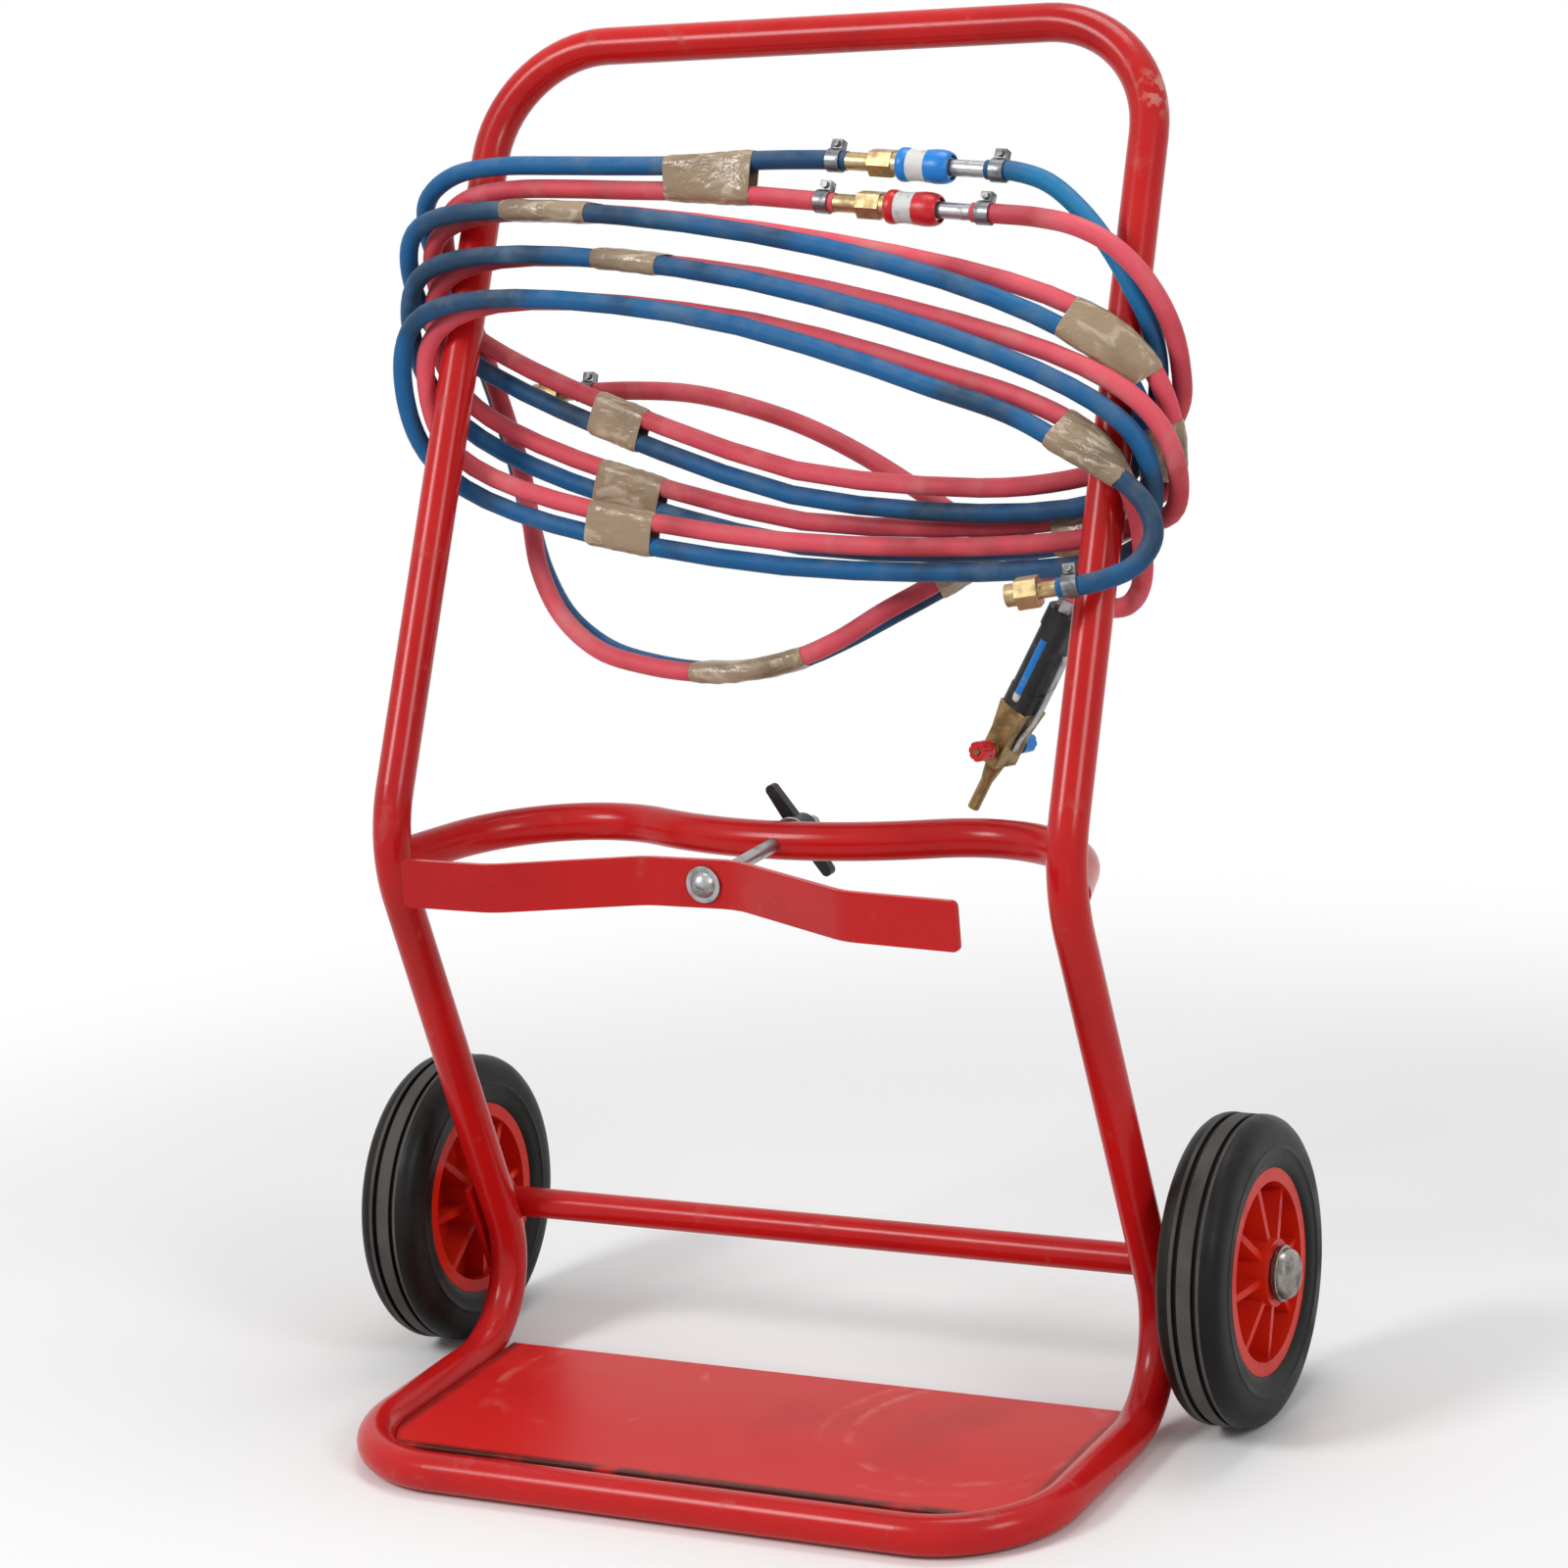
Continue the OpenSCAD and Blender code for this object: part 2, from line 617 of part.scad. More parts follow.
module hose_red_supply() {
    color(hose_red) hose(red_supply);
}

module hose_blue_torch() {
    color(hose_blue) hose(blue_torch);
}

module hose_red_torch() {
    color(hose_red) hose(red_torch);
}

// Couplers, drawn along Z from the torch hose's face to the supply hose's face
collar_len = 22;
collar_d = 15;
hex_end = 43;
hex_d = 24;
neck_r = 10;
neck_short = 9;
sleeve_stroke = 4.5;
sleeve_room = 0.5;
sleeve_start = hex_end + sleeve_stroke + sleeve_room;
neck_end = sleeve_start + sleeve_len - neck_short;
plug_d = 13.5;
plug_flange_d = 18;
plug_flange_t = 6;
module on_coupler(from, to) {
    multmatrix(facing(from, to - from, lean_dir)) translate([0, 0, seat_gap]) children();
}

module coupler_body() {
    cylinder(d = collar_d, h = collar_len);
    translate([0, 0, collar_len]) cylinder(d = hex_d, h = hex_end - collar_len, $fn = 6);
    translate([0, 0, hex_end]) cylinder(r = neck_r, h = neck_end - hex_end);
}

module coupler_sleeve() {
    r = sleeve_d / 2;
    rib = 1.5;
    edge = 2;
    lobe = 8;
    translate([0, 0, sleeve_start]) rotate_extrude() polygon([[neck_r + fit, 0], [r - rib - edge / 2, 0],
        [r - rib, edge], [r - rib, lobe], [r, lobe + edge], [r, 2 * lobe], [r - rib, 2 * lobe + edge],
        [r - rib, sleeve_len - 2 * lobe - edge], [r, sleeve_len - 2 * lobe], [r, sleeve_len - lobe],
        [r - rib, sleeve_len - lobe + edge], [r - rib - edge / 2, sleeve_len],
        [neck_r + fit, sleeve_len]]);
}

module coupler_plug(reach) {
    translate([0, 0, neck_end + seat_gap]) {
        cylinder(d = plug_flange_d, h = plug_flange_t);
        cylinder(d = plug_d, h = reach - neck_end - 3 * seat_gap);
    }
}

module coupler_body_blue() {
    color(brass) on_coupler(blue_torch[0], blue_supply[0]) coupler_body();
}

module coupler_body_red() {
    color(brass) on_coupler(red_torch[0], red_supply[0]) coupler_body();
}

module coupler_sleeve_blue() {
    color(hose_blue) on_coupler(blue_torch[0], blue_supply[0]) coupler_sleeve();
}

module coupler_sleeve_red() {
    color(hose_red) on_coupler(red_torch[0], red_supply[0]) coupler_sleeve();
}

module coupler_plug_blue() {
    color(zinc) on_coupler(blue_torch[0], blue_supply[0])
        coupler_plug(norm(blue_supply[0] - blue_torch[0]));
}

module coupler_plug_red() {
    color(zinc) on_coupler(red_torch[0], red_supply[0])
        coupler_plug(norm(red_supply[0] - red_torch[0]));
}

// Hose clips, one near each hose end, with an ear and a screw
module hose_clip(end, before, up) {
    clip_w = 12;
    clip_t = 1.6;
    clip_in = 5;
    clip_r = hose_r + seat_gap;
    ear = 9;
    screw_d = 6;
    screw_out = 3;
    multmatrix(facing(end, before - end, up)) translate([0, 0, clip_in]) {
        linear_extrude(clip_w) pipe_section(2 * (clip_r + clip_t), 2 * clip_r);
        translate([clip_r + clip_t / 2, -ear / 2, 1]) cube([ear - 1, ear, clip_w - 2]);
        translate([clip_r + ear / 2, -ear / 2 - screw_out, clip_w / 2]) rotate([-90, 0, 0])
            cylinder(d = screw_d, h = ear + 2 * screw_out);
    }
}

module hose_clips() {
    color(zinc) {
        for (p = [blue_supply, red_supply, blue_torch, red_torch]) hose_clip(p[0], p[1], lean_dir);
        for (p = [blue_supply, red_supply]) hose_clip(last(p), last(p, 2), lean_dir);
    }
}

// Brass unions on the free hose ends
module end_fittings() {
    collar = 14;
    collar_w = 13;
    nut = 18;
    nut_w = 27;
    nose = 9;
    nose_w = 18;
    bore = 9;
    color(brass) for (p = [blue_supply, red_supply])
        multmatrix(facing(last(p), last(p) - last(p, 2), lean_dir)) translate([0, 0, seat_gap]) difference() {
            union() {
                cylinder(d = collar_w, h = collar);
                translate([0, 0, collar]) cylinder(d = nut_w, h = nut, $fn = 6);
                translate([0, 0, collar + nut]) cylinder(d = nose_w, h = nose);
            }
            translate([0, 0, collar]) cylinder(d = bore, h = nut + nose + 1);
        }
}

// Torch, drawn along Z downwards from between the two hose faces
torch_top = (last(blue_torch) + last(red_torch)) / 2;
torch_twin = norm(last(blue_torch) - last(red_torch)) / 2;
torch_dir = unit(last(blue_torch) - last(blue_torch, 2)) + unit(last(red_torch) - last(red_torch, 2));
join_len = 22;
grip_w = 36;
grip_t = 28;
block_len = 56;
block_taper = 26;
block_w = 30;
block_t = 20;
valve_drop = 42;
stem_r = 3;
stem_len = 16;
boss_d = 12;
boss_len = 6;
boss_in = 2;
block_start = join_len + weld_gap + handle_len + weld_gap;
valve_z = block_start + valve_drop;
module on_torch() {
    multmatrix(facing(torch_top, torch_dir, last(red_torch) - last(blue_torch))) children();
}

module torch_connectors() {
    seat = 0.5;
    stem = 10;
    stem_w = 12;
    nut_w = 17;
    color(zinc) on_torch() for (s = [-1, 1]) translate([s * torch_twin, 0, seat]) {
        cylinder(d = stem_w, h = stem);
        translate([0, 0, stem]) cylinder(d = nut_w, h = join_len - stem - seat, $fn = 6);
    }
}

module grip_outline(w, t, r) {
    translate([-w / 2 + r, -t / 2]) square([w - 2 * r, t]);
    translate([-w / 2, -t / 2 + r]) square([w, t - 2 * r]);
    for (sx = [-1, 1]) for (sy = [-1, 1]) translate([sx * (w / 2 - r), sy * (t / 2 - r)]) circle(r = r);
}

module torch_handle() {
    groove = 2;
    round = 9;
    end = 18;
    color(black) on_torch() translate([0, 0, join_len + weld_gap]) {
        linear_extrude(end) grip_outline(grip_w, grip_t, round);
        translate([0, 0, end]) linear_extrude(handle_len - 2 * end)
            grip_outline(grip_w - groove, grip_t - groove, round);
        translate([0, 0, handle_len - end]) linear_extrude(end) grip_outline(grip_w - groove, grip_t, round);
    }
}

// Block under the handle, narrowing towards its lower half, with a valve stem on each side
module torch_block() {
    color(brass) on_torch() {
        translate([-block_w / 2, 0, block_start]) rotate([90, 0, 90]) linear_extrude(block_w)
            polygon([[-grip_t / 2, 0], [grip_t / 2, 0], [block_t / 2, block_taper], [block_t / 2, block_len],
                [-block_t / 2, block_len], [-block_t / 2, block_taper]]);
        for (s = [-1, 1]) translate([s * block_w / 2, 0, valve_z]) rotate([0, s * 90, 0]) {
            translate([0, 0, -boss_in]) cylinder(d = boss_d, h = boss_len + boss_in);
            cylinder(r = stem_r, h = boss_len + stem_len);
        }
    }
}

module valve_knob(s) {
    knob_len = 14;
    flutes = 8;
    flute_d = 3.6;
    plain = 3;
    on_torch() translate([s * block_w / 2, 0, valve_z]) rotate([0, s * 90, 0])
        translate([0, 0, boss_len + face_gap]) difference() {
            cylinder(d = knob_d, h = knob_len);
            translate([0, 0, -1]) cylinder(r = stem_r + fit, h = knob_len + 2);
            for (i = [0 : flutes - 1]) rotate([0, 0, i * 360 / flutes])
                translate([knob_d / 2 + 1, 0, plain]) cylinder(d = flute_d, h = knob_len);
        }
}

module torch_knob_blue() {
    color(hose_blue) valve_knob(-1);
}

module torch_knob_red() {
    color(plastic_red) valve_knob(1);
}

module torch_nozzle() {
    cone = 18;
    cone_d = 17;
    tip = 30;
    tip_d = 10;
    bore = 4;
    color(brass) on_torch() translate([0, 0, block_start + block_len + weld_gap]) difference() {
        union() {
            cylinder(d1 = cone_d, d2 = tip_d + 1, h = cone);
            translate([0, 0, cone]) cylinder(d = tip_d, h = tip);
        }
        translate([0, 0, cone]) cylinder(d = bore, h = tip + 1);
    }
}

left_frame_tube();
right_frame_tube();
base_plate();
cradle();
axle_tube();
axle_plates();
axle();
axle_washers();
hub_caps();
tyre_left();
tyre_right();
rim_left();
rim_right();
bush_left();
bush_right();
clamp_strap();
clamp_bolt();
strap_washer();
nut_washer();
lever_nut();
nut_insert();
hose_blue_supply();
hose_red_supply();
hose_blue_torch();
hose_red_torch();
coupler_body_blue();
coupler_body_red();
coupler_sleeve_blue();
coupler_sleeve_red();
coupler_plug_blue();
coupler_plug_red();
hose_clips();
end_fittings();
torch_connectors();
torch_handle();
torch_block();
torch_knob_blue();
torch_knob_red();
torch_nozzle();
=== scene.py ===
import json
import math

import bmesh
import bpy
import numpy as np
from mathutils import Matrix, Vector, noise

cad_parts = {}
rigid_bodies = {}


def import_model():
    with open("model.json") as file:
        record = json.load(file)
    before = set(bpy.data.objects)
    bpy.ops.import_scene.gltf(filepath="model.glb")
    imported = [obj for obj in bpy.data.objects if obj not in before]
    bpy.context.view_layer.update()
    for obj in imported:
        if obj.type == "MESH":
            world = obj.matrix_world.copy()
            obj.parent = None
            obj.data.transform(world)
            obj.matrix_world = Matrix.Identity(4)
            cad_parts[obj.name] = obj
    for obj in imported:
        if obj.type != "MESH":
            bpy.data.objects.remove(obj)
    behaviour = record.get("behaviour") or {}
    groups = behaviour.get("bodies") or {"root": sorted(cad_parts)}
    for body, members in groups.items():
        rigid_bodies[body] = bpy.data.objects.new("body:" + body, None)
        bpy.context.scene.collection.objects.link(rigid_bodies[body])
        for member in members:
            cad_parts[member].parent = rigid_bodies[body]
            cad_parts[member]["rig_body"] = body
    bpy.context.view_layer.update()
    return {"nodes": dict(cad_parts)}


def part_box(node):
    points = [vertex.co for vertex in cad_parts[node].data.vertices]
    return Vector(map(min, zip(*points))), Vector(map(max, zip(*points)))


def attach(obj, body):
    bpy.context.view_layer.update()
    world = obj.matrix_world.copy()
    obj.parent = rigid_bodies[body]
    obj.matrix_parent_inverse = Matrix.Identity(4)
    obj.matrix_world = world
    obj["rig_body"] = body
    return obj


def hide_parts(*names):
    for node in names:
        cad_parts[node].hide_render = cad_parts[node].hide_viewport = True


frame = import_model()
scene = bpy.context.scene
scene.view_settings.view_transform = "Standard"

# Camera
# It stands in front of the trolley and to its right, a little higher than the handle,
# with a long lens, and leans a little to one side.
turn_angle, tip_angle, lean_angle = (math.radians(a) for a in (-28.71, -10.8, -4.99))
ahead = Vector((
    math.sin(turn_angle) * math.cos(tip_angle),
    math.cos(turn_angle) * math.cos(tip_angle),
    math.sin(tip_angle),
))
level = Vector((math.cos(turn_angle), -math.sin(turn_angle), 0))
above = level.cross(ahead)
across = math.cos(lean_angle) * level + math.sin(lean_angle) * above
upward = math.cos(lean_angle) * above - math.sin(lean_angle) * level
stand = (1.59844, -2.92868, 1.33016)
lens = bpy.data.cameras.new("camera")
lens.sensor_width = 36
lens.lens = 97.36
lens.shift_x = 0.0389
lens.shift_y = -0.1239
lens.clip_end = 50
camera = bpy.data.objects.new("camera", lens)
scene.collection.objects.link(camera)
camera.matrix_world = Matrix((
    (across.x, upward.x, -ahead.x, stand[0]),
    (across.y, upward.y, -ahead.y, stand[1]),
    (across.z, upward.z, -ahead.z, stand[2]),
    (0, 0, 0, 1),
))
scene.camera = camera

# Twin hoses
# Two rubber hoses, blue for oxygen and red for fuel gas, lie side by side. On one side of the couplers they are
# wound nearly three times round the upper side tubes and run out to their free ends; on the other side they
# go round the left tube and hang in a low loop behind the frame, with the torch at the end.


def unit(v):
    return v / np.linalg.norm(v)


rise = unit(np.array([0.0, 315.0, 628.0]))
outward = np.array([0.0, -rise[2], rise[1]])
knee = np.array([0.0, -72.0, 486.0])
leg_stretch = 1.0008
hose_r = 0.008
# The winding, in millimetres: across, up the leaning tubes from their knee, and out from them
half_span, end_reach, middle_ease = 251, 90, 40
right_swell, left_swell = 12, 5
front_high, front_drop, front_fan, front_tilt = 508, 38, 0.04, 0.16
back_high, back_drop, back_gather, back_tilt = 327, 41, 6, 0.056
left_lift, left_lift_less, right_dip = 0.254, 0.1, 0.07
half_depth, depth_shift, deep_pass = 57.5, 2.2, 29
strand_gap, strand_slant, even_turn = 10.2, 0.4, 14
wind_end, wind_step, join_turn, span_steps = 1005, 5, 15, 6


def past_middle(x):
    return (x + math.hypot(x, middle_ease)) / 2


def coil(t):
    c, s = math.cos(math.radians(t)), math.sin(math.radians(t))
    grow = right_swell * max(0, 1 - abs(t / 360 - 2)) if c > 0 else left_swell * (3 - t / 360)
    x = (half_span + grow) * math.sin(math.pi / 2 * c) + end_reach * c
    n = (t - 90) / 360
    front = front_high - (front_drop + front_fan * past_middle(x)) * (t - 270) / 360 - front_tilt * x
    back = back_high - back_drop * n + back_gather * n * n - back_tilt * x
    back += (left_lift - left_lift_less * n) * past_middle(-x) - right_dip * max(0, 1 - n) * past_middle(x)
    w = (1 + s) / 2
    deep = deep_pass * max(0, 1 - 4 * (n - 1) ** 2)
    return np.array([x, (1 - w) * front + w * back, depth_shift - half_depth * s - deep * w])


def strand(u, side):
    t = u - even_turn * math.sin(math.radians(2 * u))
    along = unit(coil(t + 1) - coil(t - 1))
    c, s = math.cos(math.radians(t)), math.sin(math.radians(t))
    aside = np.array([1, min(1, 1 + s) if c > 0 else (1 + s) / 2, strand_slant * s])
    return coil(t) + side * strand_gap * unit(aside - aside.dot(along) * along)


def smooth(points):
    p = np.array(points, float)
    q = np.vstack([2 * p[0] - p[1], p, 2 * p[-1] - p[-2]])
    line = []
    for i in range(1, len(q) - 2):
        a, b, c, d = q[i - 1:i + 3]
        for u in np.arange(span_steps) / span_steps:
            line.append(0.5 * (
                2 * b + (c - a) * u + (2 * a - 5 * b + 4 * c - d) * u ** 2 + (3 * b - a - 3 * c + d) * u ** 3
            ))
    return np.array(line + [p[-1]])


def space(p):
    p = np.atleast_2d(p)
    up, out = np.outer(p[:, 1], rise) * leg_stretch, np.outer(p[:, 2], outward)
    return (knee + np.outer(p[:, 0], [1, 0, 0]) + up + out) / 1000


def wound(first, begin, last, side):
    middle = [strand(u, side) for u in np.arange(begin, wind_end + 1, wind_step)]
    skip = span_steps + 1
    head = smooth(list(first) + [strand(begin, side), strand(begin + join_turn, side)])[:-skip]
    tail = smooth([strand(wind_end - join_turn, side), strand(wind_end, side)] + list(last))[skip:]
    return space(np.vstack([head, middle, tail]))


blue_start = (
    (190, 560, 46), (214, 558, 46), (244, 548, 44), (272, 526, 39), (297, 497, 32), (317, 466, 24),
    (331, 436, 9), (333, 402, -10), (322, 362, -27),
)
red_start = (
    (180, 526, 42), (204, 524, 42), (240, 518, 48), (276, 508, 53), (308, 492, 49), (333, 468, 35),
    (348, 440, 15), (351, 412, -8), (344, 386, -32), (319, 361, -49), (274, 338, -52),
)
blue_end = (
    (240, 354, 56), (287, 331, 49), (326, 311, 44), (354, 288, 40), (364, 262, 38), (352, 238, 40),
    (324, 224, 44), (294, 218, 47),
)
red_end = (
    (244, 370, 46), (290, 350, 37), (320, 324, 28), (335, 293, 12), (336, 262, -11), (325, 240, -39),
    (300, 232, -66), (262, 242, -88), (215, 267, -102), (160, 297, -106), (100, 333, -104), (42, 365, -98),
    (-15, 390, -92), (-72, 407, -87), (-125, 417, -83), (-180, 419, -80), (-232, 417, -78),
)
blue_run = (
    (65, 572, 46), (38, 574, 46), (-20, 575, 47), (-80, 572, 50), (-145, 573, 52), (-205, 575, 53),
    (-262, 577, 51), (-310, 573, 44), (-345, 558, 26), (-358, 535, -4), (-353, 504, -39), (-340, 465, -71),
    (-323, 416, -97), (-304, 362, -114), (-285, 312, -120), (-263, 268, -120), (-231, 229, -118),
    (-186, 201, -115), (-136, 188, -112), (-88, 183, -111), (-44, 185, -111), (0, 196, -113),
    (38, 215, -117), (74, 239, -125), (108, 264, -136), (140, 290, -144), (168, 315, -145), (200, 330, -141),
    (231, 323, -134), (250, 304, -128), (250, 288, -129), (236, 268, -140),
)
red_run = (
    (57, 538, 42), (30, 541, 42), (-25, 547, 42), (-80, 552, 42), (-140, 555, 42), (-195, 558, 42),
    (-250, 560, 40), (-296, 557, 33), (-328, 544, 17), (-341, 521, -10), (-336, 490, -37), (-323, 451, -61),
    (-306, 403, -82), (-288, 355, -95), (-273, 310, -99), (-257, 266, -99), (-228, 225, -98),
    (-185, 195, -96), (-136, 182, -93), (-88, 177, -93), (-44, 179, -93), (0, 190, -95), (38, 209, -99),
    (72, 235, -106), (108, 262, -118), (140, 288, -126), (168, 312, -127), (200, 326, -123),
    (230, 319, -116), (247, 300, -111), (246, 283, -113), (232, 262, -124),
)
lines = {
    "hose_blue_supply": wound(blue_start, 60, blue_end, -1),
    "hose_red_supply": wound(red_start, 75, red_end, 1),
    "hose_blue_torch": space(smooth(blue_run)),
    "hose_red_torch": space(smooth(red_run)),
}


def shader_group(name, inputs, output):
    tree = bpy.data.node_groups.new(name, "ShaderNodeTree")
    for label, value in inputs.items():
        socket = tree.interface.new_socket(label, in_out="INPUT", socket_type="NodeSocketFloat")
        socket.default_value = value
    tree.interface.new_socket(output, in_out="OUTPUT", socket_type="NodeSocketFloat")
    return tree, tree.nodes.new("NodeGroupInput").outputs, tree.nodes.new("NodeGroupOutput").inputs[0]


def node(tree, kind, **settings):
    made = tree.nodes.new(kind)
    for key, value in settings.items():
        setattr(made, key, value)
    return made


def ramp(tree, value, low, high):
    made = node(tree, "ShaderNodeMapRange", interpolation_type="SMOOTHSTEP")
    tree.links.new(value, made.inputs["Value"])
    for key, end in (("From Min", low), ("From Max", high)):
        if isinstance(end, (int, float)):
            made.inputs[key].default_value = end
        else:
            tree.links.new(end, made.inputs[key])
    return made.outputs["Result"]


def times(tree, a, b):
    made = node(tree, "ShaderNodeMath", operation="MULTIPLY")
    for socket, value in zip(made.inputs, (a, b)):
        if isinstance(value, (int, float)):
            socket.default_value = value
        else:
            tree.links.new(value, socket)
    return made.outputs[0]


# Patches: soft blotches between two levels, for faded, rubbed or dirty places
patches, given, result = shader_group("patches", {"Scale": 20, "Low": 0.45, "High": 0.65, "Detail": 5}, "Mask")
spot = node(patches, "ShaderNodeTexCoord").outputs["Object"]
cloud = node(patches, "ShaderNodeTexNoise")
patches.links.new(spot, cloud.inputs["Vector"])
patches.links.new(given["Scale"], cloud.inputs["Scale"])
patches.links.new(given["Detail"], cloud.inputs["Detail"])
patches.links.new(ramp(patches, cloud.outputs["Fac"], given["Low"], given["High"]), result)

# Grain: a fine even roughness of the surface
grain, given, result = shader_group("grain", {"Scale": 900}, "Height")
cloud = node(grain, "ShaderNodeTexNoise")
cloud.inputs["Detail"].default_value = 3
grain.links.new(node(grain, "ShaderNodeTexCoord").outputs["Object"], cloud.inputs["Vector"])
grain.links.new(given["Scale"], cloud.inputs["Scale"])
grain.links.new(cloud.outputs["Fac"], result)

# Dust: settles on what faces up, thicker in some places than in others
dust, given, result = shader_group("dust", {"Amount": 0.5, "Scale": 30}, "Mask")
facing = node(dust, "ShaderNodeSeparateXYZ")
dust.links.new(node(dust, "ShaderNodeNewGeometry").outputs["Normal"], facing.inputs[0])
cloud = node(dust, "ShaderNodeTexNoise")
cloud.inputs["Detail"].default_value = 6
dust.links.new(node(dust, "ShaderNodeTexCoord").outputs["Object"], cloud.inputs["Vector"])
dust.links.new(given["Scale"], cloud.inputs["Scale"])
settled = times(dust, ramp(dust, facing.outputs["Z"], -0.2, 1.0), ramp(dust, cloud.outputs["Fac"], 0.3, 0.75))
dust.links.new(times(dust, settled, given["Amount"]), result)


def finish(name, colour, roughness, metallic=0.0, specular=0.5):
    made = bpy.data.materials.new(name)
    made.use_nodes = True
    shader = made.node_tree.nodes["Principled BSDF"]
    shader.inputs["Base Color"].default_value = (*colour, 1)
    shader.inputs["Roughness"].default_value = roughness
    shader.inputs["Metallic"].default_value = metallic
    shader.inputs["Specular IOR Level"].default_value = specular
    return made, made.node_tree, shader


def use(tree, group, **values):
    made = node(tree, "ShaderNodeGroup", node_tree=group)
    for key, value in values.items():
        made.inputs[key].default_value = value
    return made.outputs[0]


def cover(tree, shader, colour, mask):
    mix = node(tree, "ShaderNodeMix", data_type="RGBA")
    under, over, mixed = mix.inputs[6], mix.inputs[7], mix.outputs[2]
    base = shader.inputs["Base Color"]
    if base.is_linked:
        tree.links.new(base.links[0].from_socket, under)
    else:
        under.default_value = base.default_value
    over.default_value = (*colour, 1)
    tree.links.new(mask, mix.inputs[0])
    tree.links.new(mixed, base)


def vary(tree, socket, mask, low, high):
    span = node(tree, "ShaderNodeMapRange")
    span.inputs["To Min"].default_value = low
    span.inputs["To Max"].default_value = high
    tree.links.new(mask, span.inputs["Value"])
    tree.links.new(span.outputs["Result"], socket)


def bump(tree, shader, height, depth, strength=1.0):
    made = node(tree, "ShaderNodeBump")
    made.inputs["Distance"].default_value = depth
    made.inputs["Strength"].default_value = strength
    if shader.inputs["Normal"].is_linked:
        tree.links.new(shader.inputs["Normal"].links[0].from_socket, made.inputs["Normal"])
    tree.links.new(height, made.inputs["Height"])
    tree.links.new(made.outputs["Normal"], shader.inputs["Normal"])


def around_spot(tree, spot, near, far):
    gap = node(tree, "ShaderNodeVectorMath", operation="DISTANCE")
    tree.links.new(node(tree, "ShaderNodeTexCoord").outputs["Object"], gap.inputs[0])
    gap.inputs[1].default_value = spot
    return ramp(tree, gap.outputs["Value"], near, far)


def hose_rubber(name, colour, faded, dark, stretches=()):
    made, tree, shader = finish(name, colour, 0.6, specular=0.16)
    cover(tree, shader, dark, use(tree, patches, Scale=7, Low=0.46, High=0.62, Detail=3))
    faded_mask = use(tree, patches, Scale=24, Low=0.5, High=0.8, Detail=6)
    cover(tree, shader, faded, faded_mask)
    for spot, tone in stretches:
        cover(tree, shader, tone, times(tree, around_spot(tree, spot, 0.105, 0.05), 0.8))
    cover(tree, shader, (0.34, 0.33, 0.32), use(tree, dust, Amount=0.16, Scale=60))
    vary(tree, shader.inputs["Roughness"], faded_mask, 0.5, 0.75)
    bump(tree, shader, use(tree, grain, Scale=1400), 0.0004, 0.4)
    bump(tree, shader, use(tree, grain, Scale=160), 0.0006, 0.25)
    return made


hose_paints = {
    "blue": hose_rubber("blue hose rubber", (0.012, 0.112, 0.285), (0.078, 0.148, 0.245), (0.018, 0.052, 0.105), (
        ((0.280, 0.125, 0.970), (0.010, 0.200, 0.430)), ((0.000, 0.144, 1.020), (0.020, 0.055, 0.120)),
    )),
    "red": hose_rubber("red hose rubber", (0.70, 0.090, 0.120), (0.68, 0.180, 0.190), (0.46, 0.052, 0.070)),
}
for name, line in lines.items():
    curve = bpy.data.curves.new(name, "CURVE")
    curve.dimensions = "3D"
    curve.bevel_depth = hose_r
    curve.bevel_resolution = 5
    curve.use_fill_caps = True
    run = curve.splines.new("POLY")
    run.points.add(len(line) - 1)
    for point, place in zip(run.points, line):
        point.co = (*place, 1)
    run.use_smooth = True
    hose = bpy.data.objects.new(name + "_line", curve)
    scene.collection.objects.link(hose)
    shade = "blue" if "blue" in name else "red"
    curve.materials.append(hose_paints[shade])
    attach(hose, "frame")
    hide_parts(name)

# Tape bands
# Bands of brown adhesive tape tie the two hoses together every so often. Each is wrapped a few times
# round both, so that it bridges the valleys between them and lies in soft creases.
tape, tree, shader = finish("brown tape", (0.33, 0.235, 0.148), 0.28, specular=0.4)
cover(tree, shader, (0.165, 0.112, 0.068), use(tree, patches, Scale=13, Low=0.42, High=0.7, Detail=2))
vary(tree, shader.inputs["Roughness"], use(tree, patches, Scale=30, Low=0.4, High=0.7, Detail=2), 0.2, 0.42)
bump(tree, shader, use(tree, grain, Scale=75), 0.0022, 0.5)
slant = node(tree, "ShaderNodeMapping")
slant.inputs["Rotation"].default_value = (0.5, 0.7, 0.6)
slant.inputs["Scale"].default_value = (34, 170, 60)
tree.links.new(node(tree, "ShaderNodeTexCoord").outputs["Object"], slant.inputs["Vector"])
crease_and_glint = node(tree, "ShaderNodeTexNoise")
crease_and_glint.inputs["Scale"].default_value = 1
crease_and_glint.inputs["Detail"].default_value = 3
crease_and_glint.inputs["Distortion"].default_value = 0.7
tree.links.new(slant.outputs[0], crease_and_glint.inputs["Vector"])
# Painted highlight: pale streaks along the crease ridges stand in for glints of light on the tape; the same noise
# also bumps the creases
cover(tree, shader, (0.50, 0.40, 0.29), times(tree, ramp(tree, crease_and_glint.outputs["Fac"], 0.53, 0.66), 0.8))
bump(tree, shader, crease_and_glint.outputs["Fac"], 0.004, 0.6)
tape_thick, tape_end = 0.0011, 0.0003
fold_height, fold_scale, fold_around, fold_along = 0.0008, 150, 1.6, 0.3
wrap_step, wrap_slant, flat_side = 0.00035, 0.19, 3.5
band_rings = 14


